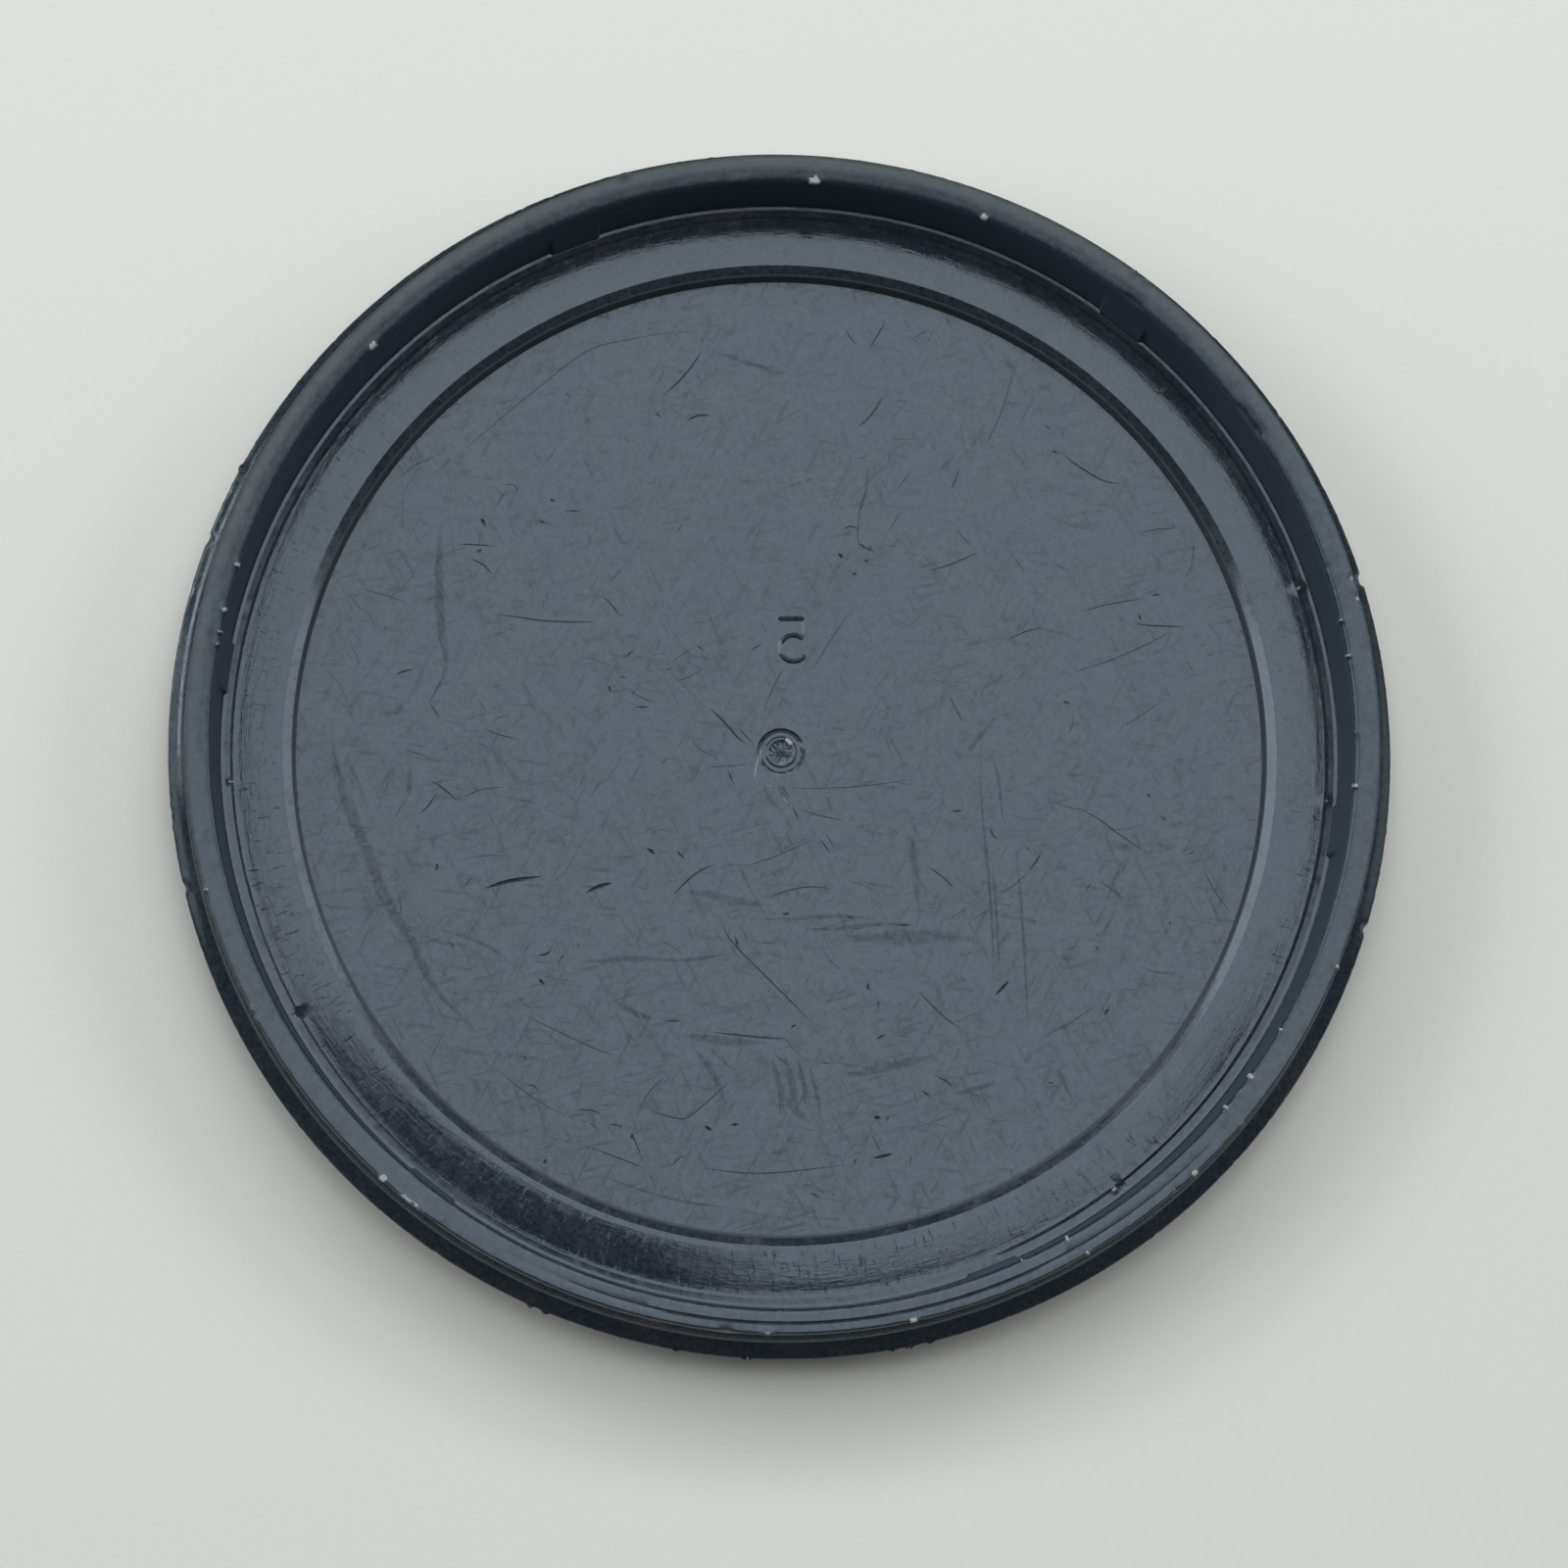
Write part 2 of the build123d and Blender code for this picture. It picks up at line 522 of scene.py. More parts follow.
@dataclass(frozen=True)
class WornPlastic:
    """Black moulding plastic, glossy once, now dulled and scratched by use. Lengths are in millimetres."""

    colour: Colour = (0.017, 0.026, 0.036)
    dusty: Colour = (0.030, 0.036, 0.042)
    # Dust colour, also used as a painted sheen that makes the step wall lighter.
    dust_and_step_sheen: Colour = (0.060, 0.073, 0.084)
    # Lighter bluish tone of the bore wall: a painted sheen that stands in for the light it reflects.
    wall_painted_sheen: Colour = (0.038, 0.056, 0.078)
    # Olive tone of the rubbed far rim: partly wear, partly a painted sheen that stands in for the greenish
    # light it reflects.
    rubbed_olive_sheen: Colour = (0.050, 0.056, 0.048)
    # Pale colour of chipped plastic, also used for a painted glint on the gate stub.
    pale_and_glint: Colour = (0.34, 0.36, 0.36)
    tint: Colour = (0.84, 1.0, 1.18)
    index: float = 1.6
    gloss: float = 0.15
    cloud_dull: float = 0.05
    rim_dull: float = 0.17
    far_rim_dull: float = 0.4
    far_rim_least: float = 0.3
    far_edge_dull: float = 0.4
    ledge_dull: float = -0.06
    wall_dull: float = 0.45
    scuff_dull: float = 0.27
    scuff_full: float = 0.6
    chip_dull: float = 0.4
    blotch_dull: float = 0.12
    hairline_dull: float = 0.2
    grain_spread: float = 0.6
    corner_grime: float = 0.15
    # Share of the painted sheen on the step wall, which stands in for reflected light.
    step_sheen: float = 1.0
    ledge: Zone = Zone((24.7, 26.85), (2.0, 2.5), fade_across=0.1)
    wall: Zone = Zone((27.15, 27.85), (2.45, 5.9), fade_up=0.1)
    corner: Zone = Zone((26.3, 27.25), (2.0, 2.5), fade_across=0.4)
    step: Zone = Zone((23.78, 24.2), (1.45, 2.1))
    floor_heights: Pair = (1.1, 1.5)
    floor_fade: float = 0.05
    rim_heights: Pair = (5.95, 6.05)
    matt_radii: Pair = (28.3, 28.6)
    edge_radii: Pair = (28.86, 28.95)
    corner_faces: Triple = (0.5, 0.87, 0.0)
    corner_band: Pair = (-0.1, 0.6)
    far_faces: Triple = (-0.26, 0.97, 0.0)
    far_band: Pair = (0.1, 0.85)
    cloud: Pattern = Pattern(0.35, 1.0, detail=5.0, rough=0.65, band=(0.3, 0.7))
    dust_band: Pair = (0.45, 0.75)
    torn: Pattern = Pattern(6.0, 7.0, detail=3.0)
    torn_gain: float = 2.0
    chip_and_glint_band: Pair = (0.42, 0.56)
    grain: Pattern = Pattern(4.0, 8.0, detail=4.0, rough=0.7, band=(0.33, 0.67))
    patchy: Pattern = Pattern(6.0, 9.0, detail=4.0, rough=0.65, band=(0.35, 0.62))
    patchy_least: float = 0.4
    rubbed: Pattern = Pattern(1.0, 10.0, detail=5.0, rough=0.7, band=(0.35, 0.6))
    rubbed_run: Pair = (22.0, 4.0)
    rubbed_least: float = 0.4
    blotch: Pattern = Pattern(0.9, 11.0, detail=6.0, rough=0.75, warp=1.2, band=(0.5, 0.62))
    hairline: Pattern = Pattern(1.0, 12.0, detail=3.0, rough=0.6, warp=0.4, band=(0.56, 0.68))
    hairline_angles: tuple[float, ...] = (8.0, 64.0, 118.0, 165.0)
    hairline_stretch: Triple = (0.5, 5.0, 1.0)
    wave: Pattern = Pattern(2.4, 2.0, detail=3.0, rough=0.6)
    wave_relief: float = 0.0025
    fibre: Pattern = Pattern(1.0, 3.0, detail=3.0, rough=0.65, warp=0.5)
    fibre_run: Pair = (26.0, 7.0)
    fibre_relief: float = 0.007
    tick: Pattern = Pattern(1.0, 4.0, band=(0.6, 0.74))
    tick_run: Pair = (150.0, 1.2)
    tick_relief: float = -0.006
    streak: Pattern = Pattern(1.0, 5.0, detail=3.0, rough=0.6)
    streak_run: Pair = (4.0, 9.0)
    streak_relief: float = 0.005
    mottle: Pattern = Pattern(4.5, 6.0)
    mottle_relief: float = 0.003

    def build(self) -> bpy.types.Material:
        """Makes the material.

        Returns:
            The material, which reads Object coordinates and the mesh's wear attributes.
        """
        material = bpy.data.materials.new("worn_plastic")
        material.use_nodes = True
        sketch = NodeSketch(material.node_tree)
        shader = material.node_tree.nodes["Principled BSDF"]
        places = CapPlaces(sketch, CapPlaces.on_object(sketch))
        masks = self.masks(places)
        cloud = sketch.noise(places.place, self.cloud)
        bump = sketch.add("ShaderNodeBump", {"Distance": MM, "Height": self.relief(places, masks)})
        sketch.feed(shader.inputs["Base Color"], self.tone(places, masks, cloud))
        sketch.feed(shader.inputs["Roughness"], self.dullness(places, masks, cloud))
        sketch.feed(shader.inputs["Normal"], bump.outputs[0])
        shader.inputs["IOR"].default_value = self.index
        shader.inputs["Specular Tint"].default_value = (*self.tint, 1.0)
        return material

    def masks(self, places: CapPlaces) -> CapMasks:
        """Finds the areas that wear differently; the far part of the rim is rubbed in streaks.

        Args:
            places: where the point lies.

        Returns:
            The masks.
        """
        sketch = places.sketch
        rim = sketch.ramp(places.height, *self.rim_heights)
        rubbed = sketch.spread(places.polar(self.rubbed_run), self.rubbed, self.rubbed_least)
        far = sketch.times(rim, places.facing(self.far_faces, self.far_band))
        torn = sketch.times(sketch.noise(places.place, self.torn), self.torn_gain)
        # Mask of pale chipped plastic, which also holds the gate stub's painted glint.
        chip_and_glint = sketch.ramp(sketch.times(sketch.attribute("chip_and_glint"), torn), *self.chip_and_glint_band)
        far_rim = sketch.times(far, rubbed)
        return CapMasks(rim, far_rim, places.within(self.ledge), places.within(self.wall), chip_and_glint)

    def tone(self, places: CapPlaces, masks: CapMasks, cloud: Socket) -> Socket:
        """Works out the colour: grainy plastic under dust in scratches and the far corner, a painted sheen on
        the step and the bore wall, rubbed far rim patches with a painted olive sheen, and pale chipped spots
        with a painted glint on the gate stub.

        Args:
            places: where the point lies.
            masks: the cap's areas.
            cloud: the slow variation of the dust.

        Returns:
            The colour.
        """
        sketch = places.sketch
        plain = sketch.blend(sketch.ramp(cloud, *self.dust_band), self.colour, self.dusty)
        grain = sketch.spread(places.place, self.grain, 1.0 - self.grain_spread, 1.0 + self.grain_spread)
        # Rubbed far rim: wear, with a painted olive sheen on its outer part.
        olive = sketch.times(masks.far_rim, sketch.ramp(places.radius, *self.matt_radii))
        layers = (
            (self.dust_and_step_sheen_share(places), self.dust_and_step_sheen),
            # The bore wall gets a painted bluish sheen.
            (masks.wall, self.wall_painted_sheen),
            (olive, self.rubbed_olive_sheen),
            (masks.chip_and_glint, self.pale_and_glint),
        )
        tone = sketch.scaled(plain, grain)
        for share, colour in layers:
            tone = sketch.blend(share, tone, colour)
        return tone

    def dust_and_step_sheen_share(self, places: CapPlaces) -> Socket:
        """Finds where dust has settled, in scratches and in the far corner under the wall, and where the step
        wall is painted lighter: a painted sheen that stands in for light it reflects.

        Args:
            places: where the point lies.

        Returns:
            The share of dust.
        """
        sketch = places.sketch
        share = sketch.attribute("dust")
        far = places.facing(self.corner_faces, self.corner_band)
        corner = sketch.times(places.within(self.corner), far)
        # The step wall gets a painted sheen: its lighter tone stands in for light it reflects.
        for mask, part in ((corner, self.corner_grime), (places.within(self.step), self.step_sheen)):
            share = sketch.math("MAXIMUM", share, sketch.times(mask, part))
        return share

    def dullness(self, places: CapPlaces, masks: CapMasks, cloud: Socket) -> Socket:
        """Works out the roughness: cloudy gloss, a duller rim and wall, scuffs, hairlines and chips.

        Args:
            places: where the point lies.
            masks: the cap's areas.
            cloud: the slow variation of the gloss.

        Returns:
            The roughness.
        """
        sketch = places.sketch
        smear = sketch.ramp(sketch.attribute("scuff"), 0.0, self.scuff_full, smooth=True)
        patchy = sketch.spread(places.place, self.patchy, self.patchy_least)
        matt = sketch.ramp(places.radius, *self.matt_radii, 1.0, self.far_rim_least)
        edge = sketch.ramp(places.radius, *self.edge_radii)
        shares = (
            (masks.rim, self.rim_dull),
            (masks.ledge, self.ledge_dull),
            (masks.wall, self.wall_dull),
            (sketch.times(masks.far_rim, matt), self.far_rim_dull),
            (sketch.times(masks.far_rim, edge), self.far_edge_dull),
            (sketch.times(smear, patchy), self.scuff_dull),
            (masks.chip_and_glint, self.chip_dull),
            (sketch.spread(places.place, self.blotch), self.blotch_dull),
            (self.hairlines(places), self.hairline_dull),
        )
        span = (self.gloss - self.cloud_dull, self.gloss + self.cloud_dull)
        total = sketch.ramp(cloud, *self.cloud.band, *span)
        for mask, dull in shares:
            total = sketch.math("MULTIPLY_ADD", mask, dull, total)
        return total

    def hairlines(self, places: CapPlaces) -> Socket:
        """Finds faint hairlines on the floor, which lie a few ways.

        Args:
            places: where the point lies.

        Returns:
            The share of hairlines.
        """
        sketch = places.sketch
        share: Feed = 0.0
        for order, angle in enumerate(self.hairline_angles):
            feeds = {"Vector": places.place, "Angle": math.radians(angle)}
            turned = sketch.add("ShaderNodeVectorRotate", feeds, rotation_type="Z_AXIS")
            stretched = sketch.vector("MULTIPLY", turned.outputs[0], self.hairline_stretch)
            pattern = replace(self.hairline, seed=self.hairline.seed + order)
            share = sketch.math("MAXIMUM", share, sketch.spread(stretched, pattern))
        return sketch.times(share, sketch.inside(places.height, *self.floor_heights, self.floor_fade))

    def relief(self, places: CapPlaces, masks: CapMasks) -> Socket:
        """Adds up the fine relief of wear.

        Args:
            places: where the point lies.
            masks: the cap's areas.

        Returns:
            The height in millimetres.
        """
        sketch = places.sketch
        layers = (
            (masks.ledge, sketch.noise(places.polar(self.fibre_run), self.fibre), self.fibre_relief),
            (masks.ledge, sketch.spread(places.polar(self.tick_run), self.tick), self.tick_relief),
            (masks.rim, sketch.noise(places.polar(self.streak_run), self.streak), self.streak_relief),
            (masks.rim, sketch.noise(places.place, self.mottle), self.mottle_relief),
        )
        height = sketch.times(sketch.noise(places.place, self.wave), self.wave_relief)
        for mask, pattern, relief in layers:
            height = sketch.math("MULTIPLY_ADD", sketch.times(mask, pattern), relief, height)
        return height


class Mark(Enum):
    """What a stroke on the floor disc is."""

    CUT = "cut"
    WISP = "wisp"
    RIDGE = "ridge"
    FLECK = "fleck"


@dataclass(frozen=True)
class Stroke:
    """A mark on the floor disc: its width in millimetres and its route in photograph pixels."""

    mark: Mark
    width: float
    route: tuple[Pair, ...]


def cut(width: float, *route: Pair) -> Stroke:
    """Returns a scratch."""
    return Stroke(Mark.CUT, width, route)


def wisp(width: float, *route: Pair) -> Stroke:
    """Returns a dull smear with no depth."""
    return Stroke(Mark.WISP, width, route)


def fleck(width: float, *route: Pair) -> Stroke:
    """Returns a pale fleck that stands out of the floor, round where the route is one pixel."""
    return Stroke(Mark.FLECK, width, route)


def smooth_route(route: list[Vector], spacing: float) -> list[Vector]:
    """Runs a smooth line through points.

    Args:
        route: the points, two or more.
        spacing: about how far apart the line's own points lie.

    Returns:
        The line's points.
    """
    ends = [route[0] * 2 - route[1], *route, route[-1] * 2 - route[-2]]
    line = [route[0]]
    for before, start, end, after in zip(ends, ends[1:], ends[2:], ends[3:]):
        steps = max(2, round((end - start).length / spacing))
        for step in range(1, steps + 1):
            t = step / steps
            straight = start * 2 + (end - before) * t
            bend = (before * 2 - start * 5 + end * 4 - after) * t ** 2
            twist = (start * 3 - before - end * 3 + after) * t ** 3
            line.append((straight + bend + twist) / 2)
    return line


@dataclass
class Trace:
    """A stroke laid out on the floor: the points of its middle line and its half widths. Millimetres."""

    mark: Mark
    points: np.ndarray
    halves: np.ndarray
    spot_corners: int = 8

    def lines(self) -> list[np.ndarray]:
        """Lays out the lines that the floor's mesh follows.

        Returns:
            The middle line and the two borders, or the middle and the border of a round spot.
        """
        if len(self.points) == 1:
            turns = np.arange(self.spot_corners) * (2 * math.pi / self.spot_corners)
            ring = self.points[0] + self.halves[0] * np.stack((np.cos(turns), np.sin(turns)), axis=1)
            return [self.points, np.concatenate((ring, ring[:1]))]
        along = np.gradient(self.points, axis=0)
        along /= np.hypot(*along.T)[:, None]
        aside = np.stack((-along[:, 1], along[:, 0]), axis=1) * self.halves[:, None]
        return [self.points, self.points + aside, self.points - aside]

    def depth_inside(self, spots: np.ndarray) -> np.ndarray:
        """Finds how far inside the mark's border each spot lies.

        Args:
            spots: places on the floor.

        Returns:
            The distances, 0 outside the mark.
        """
        best = np.maximum(0.0, self.halves[0] - np.hypot(*(spots - self.points[0]).T))
        for start, end, first, last in zip(self.points, self.points[1:], self.halves, self.halves[1:]):
            run = end - start
            share = np.clip((spots - start) @ run / (run @ run), 0.0, 1.0)
            gap = np.hypot(*(spots - start - share[:, None] * run).T)
            best = np.maximum(best, first + (last - first) * share - gap)
        return best


@dataclass(frozen=True)
class FloorWear:
    """Scratches, pits, smears and flecks on the floor disc, by the part of the photograph they lie in."""

    spacing: float = 0.45
    taper: float = 2.5
    fine_count: int = 180
    fine_seed: int = 3
    fine_widths: Pair = (0.012, 0.032)
    fine_lengths: Pair = (0.4, 3.6)
    fine_shares: Pair = (0.3, 1.0)
    fine_bow: float = 0.12
    clear_spots: tuple[Pair, ...] = ((0.0, 0.0), (0.7, 5.6))
    clear_radius: float = 1.8
    smear_spread: float = 1.5
    upper_left: tuple[Stroke, ...] = (
        cut(0.04, (735, 340), (690, 339), (640, 347), (600, 358), (550, 395), (490, 445), (455, 475)),
        cut(0.05, (392, 498), (410, 513)),
        cut(0.04, (405, 490), (425, 474), (447, 466)),
        cut(0.03, (422, 485), (412, 505), (410, 545)),
        cut(0.06, (577, 400), (583, 407)),
        cut(0.05, (515, 495), (525, 495), (530, 505)),
        cut(0.06, (517, 500), (505, 518)),
        cut(0.06, (491, 540), (488, 560)),
        cut(0.08, (467, 555), (505, 557)),
        cut(0.09, (480, 569), (495, 578), (503, 587)),
        cut(0.10, (575, 521), (594, 522)),
        cut(0.08, (500, 626), (530, 630), (560, 634), (612, 635)),
        cut(0.04, (553, 612), (556, 625)),
        cut(0.04, (540, 590), (545, 603)),
        cut(0.07, (614, 608), (622, 615), (634, 630)),
        cut(0.04, (620, 597), (636, 578)),
        wisp(0.40, (450, 520), (448, 580), (450, 640), (455, 680), (440, 715)),
        cut(0.04, (367, 600), (395, 608), (415, 615)),
    )
    upper: tuple[Stroke, ...] = (
        cut(0.09, (717, 357), (705, 375), (690, 392), (675, 405)),
        cut(0.08, (716, 340), (717, 352)),
        wisp(0.25, (720, 358), (750, 365), (790, 380), (810, 380)),
        cut(0.06, (862, 335), (868, 345), (874, 352)),
        cut(0.08, (904, 328), (895, 343), (887, 356)),
        cut(0.08, (902, 403), (893, 418), (883, 430), (874, 436)),
        cut(0.08, (668, 420), (675, 427)),
        cut(0.12, (700, 430), (712, 424), (725, 424)),
        cut(0.12, (886, 472), (884, 500), (878, 520), (876, 540), (877, 555), (890, 562), (897, 568)),
        cut(0.08, (860, 540), (868, 537), (878, 541)),
        cut(0.06, (905, 558), (915, 556)),
        cut(0.05, (910, 460), (906, 472)),
        cut(0.04, (930, 480), (915, 500)),
        cut(0.04, (920, 520), (905, 545)),
        cut(0.07, (945, 583), (970, 576), (1000, 563)),
        wisp(0.15, (790, 502), (815, 493), (840, 485)),
        cut(0.05, (690, 545), (697, 533)),
        cut(0.05, (672, 500), (675, 490)),
        cut(0.04, (857, 595), (858, 615)),
        cut(0.04, (712, 310), (717, 296)),
        cut(0.04, (950, 335), (930, 346)),
    )
    upper_right: tuple[Stroke, ...] = (
        cut(0.05, (1040, 365), (1030, 395), (1020, 425), (1008, 450), (1002, 465)),
        cut(0.07, (981, 432), (984, 455)),
        cut(0.10, (979, 478), (975, 490), (970, 500)),
        cut(0.09, (1083, 461), (1095, 472), (1115, 485), (1130, 492), (1144, 493)),
        cut(0.08, (1065, 432), (1073, 440)),
        cut(0.05, (1160, 545), (1180, 540), (1202, 539)),
        wisp(0.12, (1219, 545), (1217, 570), (1213, 585), (1200, 595)),
        cut(0.06, (1100, 625), (1130, 617), (1170, 610)),
        cut(0.08, (1155, 635), (1170, 638), (1210, 640)),
        cut(0.05, (1090, 687), (1130, 675), (1165, 660), (1200, 642)),
        cut(0.06, (1025, 655), (1045, 645), (1065, 640)),
        cut(0.04, (980, 635), (988, 652)),
        cut(0.04, (1032, 566), (1047, 585)),
        cut(0.04, (1075, 575), (1092, 583)),
        cut(0.04, (975, 540), (992, 558)),
    )
    left: tuple[Stroke, ...] = (
        cut(0.10, (403, 689), (412, 685), (422, 683)),
        cut(0.05, (452, 690), (445, 705), (438, 718)),
        cut(0.06, (437, 715), (450, 735)),
        cut(0.05, (412, 765), (430, 770), (440, 775)),
        cut(0.04, (487, 712), (497, 728)),
        cut(0.04, (475, 735), (487, 730)),
        cut(0.04, (500, 738), (510, 732), (523, 729)),
        cut(0.05, (490, 742), (510, 750), (532, 755)),
        cut(0.05, (486, 757), (500, 764)),
        cut(0.09, (440, 797), (450, 803), (467, 817)),
        cut(0.08, (447, 808), (435, 825), (428, 830)),
        cut(0.05, (470, 815), (490, 806), (515, 803)),
        wisp(0.20, (403, 780), (401, 795)),
        wisp(0.35, (418, 780), (417, 815)),
        cut(0.04, (415, 815), (400, 838)),
        cut(0.20, (493, 907), (520, 899), (553, 894)),
        cut(0.20, (598, 911), (612, 904), (625, 901)),
        cut(0.05, (590, 820), (588, 835)),
        cut(0.08, (648, 662), (635, 673)),
        cut(0.08, (632, 690), (640, 692)),
        wisp(0.50, (338, 716), (341, 770), (353, 820), (375, 870), (395, 920), (420, 960), (445, 1010),
             (495, 1062)),
        cut(0.07, (407, 910), (410, 935)),
        cut(0.08, (480, 895), (475, 905)),
        cut(0.04, (480, 875), (500, 873), (520, 873)),
    )
    middle: tuple[Stroke, ...] = (
        cut(0.04, (675, 685), (690, 680)),
        cut(0.04, (683, 677), (708, 660)),
        cut(0.08, (710, 658), (720, 665)),
        cut(0.04, (686, 697), (705, 690), (720, 680)),
        cut(0.05, (640, 703), (655, 712), (672, 718)),
        cut(0.10, (646, 722), (665, 721)),
        cut(0.12, (724, 722), (740, 738), (752, 752), (762, 760)),
        cut(0.06, (752, 742), (770, 760)),
        cut(0.06, (738, 747), (741, 755)),
        cut(0.04, (706, 757), (718, 767), (735, 775)),
        cut(0.04, (718, 783), (740, 782), (765, 780)),
        cut(0.10, (742, 785), (750, 802)),
        cut(0.06, (673, 782), (682, 772)),
        cut(0.08, (765, 665), (778, 656)),
        cut(0.05, (800, 680), (783, 715), (778, 735)),
        cut(0.04, (828, 685), (850, 650), (870, 620)),
        fleck(0.07, (775, 768), (771, 785), (770, 798)),
        fleck(0.10, (797, 811), (803, 819), (807, 822)),
        fleck(0.06, (783, 797), (790, 806)),
        wisp(0.20, (778, 795), (785, 815), (800, 830)),
        wisp(0.25, (793, 795), (798, 810), (806, 822)),
        cut(0.08, (797, 800), (806, 815)),
        cut(0.10, (808, 822), (816, 838)),
        cut(0.05, (813, 825), (835, 832), (865, 838)),
        cut(0.05, (843, 812), (850, 830)),
        cut(0.08, (836, 855), (848, 872)),
        cut(0.05, (842, 850), (852, 865)),
        cut(0.05, (755, 885), (780, 878), (800, 870), (830, 857)),
        cut(0.20, (660, 865), (669, 872)),
        cut(0.12, (690, 868), (699, 877)),
        cut(0.09, (685, 915), (700, 900), (715, 888), (730, 882)),
        cut(0.06, (787, 888), (793, 896)),
        wisp(0.40, (692, 908), (720, 912), (750, 919), (788, 926)),
        cut(0.04, (800, 805), (870, 803), (935, 795)),
        cut(0.05, (900, 742), (897, 750)),
        cut(0.07, (945, 883), (962, 895), (977, 910)),
        wisp(0.15, (945, 830), (957, 825), (965, 812)),
    )
    right: tuple[Stroke, ...] = (
        cut(0.07, (1095, 725), (1095, 738), (1089, 750)),
        cut(0.06, (967, 707), (975, 722), (983, 738)),
        wisp(0.15, (1000, 715), (1003, 703), (1015, 695), (1035, 682)),
        wisp(0.14, (998, 764), (1002, 823), (1007, 879), (1012, 935), (1014, 1006)),
        wisp(0.12, (1012, 874), (1017, 935), (1020, 999)),
        wisp(0.14, (1012, 769), (1019, 795), (1023, 843)),
        wisp(0.14, (1034, 848), (1040, 899), (1045, 966), (1048, 1019), (1049, 1063)),
        wisp(0.20, (985, 770), (1000, 752), (1020, 727)),
        cut(0.04, (1000, 750), (1003, 800)),
        cut(0.05, (1012, 765), (1020, 800), (1024, 840)),
        cut(0.035, (1008, 850), (1010, 900), (1012, 950), (1016, 1010)),
        cut(0.03, (1015, 905), (1018, 960), (1020, 1010)),
        cut(0.035, (1043, 910), (1044, 960), (1047, 1010), (1048, 1060)),
        cut(0.08, (1010, 842), (1013, 852), (1020, 857)),
        cut(0.10, (970, 828), (983, 827)),
        cut(0.10, (1063, 869), (1058, 878), (1050, 889)),
        cut(0.05, (1050, 889), (1035, 903), (1020, 912)),
        cut(0.05, (1045, 862), (1053, 870)),
        cut(0.06, (1095, 822), (1120, 835), (1140, 850), (1165, 867), (1175, 872)),
        cut(0.06, (1150, 880), (1143, 893)),
        cut(0.08, (1107, 910), (1114, 901)),
        cut(0.05, (1120, 897), (1135, 908), (1148, 918)),
        cut(0.08, (1183, 832), (1192, 838)),
        cut(0.06, (1210, 873), (1220, 868)),
        cut(0.05, (1227, 885), (1240, 910), (1257, 933)),
        cut(0.04, (1143, 742), (1160, 733), (1185, 716)),
        cut(0.04, (965, 940), (990, 925)),
        cut(0.10, (1117, 965), (1122, 970)),
        cut(0.06, (1087, 970), (1100, 965)),
        wisp(0.15, (1160, 985), (1180, 992), (1205, 993)),
        cut(0.15, (1030, 1000), (1023, 1008), (1015, 1016)),
    )
    lower_left: tuple[Stroke, ...] = (
        wisp(0.20, (430, 953), (450, 962), (480, 965)),
        wisp(0.15, (440, 947), (465, 953), (490, 962), (515, 977), (518, 990)),
        cut(0.12, (548, 975), (557, 974), (563, 969)),
        cut(0.08, (592, 962), (588, 968)),
        cut(0.08, (570, 988), (572, 978), (577, 974)),
        wisp(0.25, (577, 980), (610, 981), (650, 978), (700, 980)),
        wisp(0.30, (625, 1018), (640, 1030), (660, 1038), (672, 1041)),
        cut(0.10, (678, 1042), (695, 1042)),
        cut(0.05, (535, 1035), (560, 1048), (600, 1067), (635, 1080)),
        cut(0.08, (535, 1107), (545, 1108), (549, 1114)),
        cut(0.04, (500, 1085), (530, 1110), (560, 1130), (580, 1140)),
        cut(0.08, (585, 1133), (605, 1133), (614, 1139)),
        cut(0.08, (620, 1147), (633, 1149), (634, 1155)),
        cut(0.05, (600, 1145), (610, 1152)),
        cut(0.05, (610, 1127), (625, 1129)),
        cut(0.05, (648, 1145), (660, 1118), (678, 1098)),
        cut(0.06, (655, 1130), (675, 1137), (697, 1142), (715, 1130), (740, 1108), (750, 1100)),
        cut(0.06, (600, 1170), (640, 1185), (660, 1193)),
        cut(0.08, (685, 1190), (695, 1180), (700, 1183)),
    )
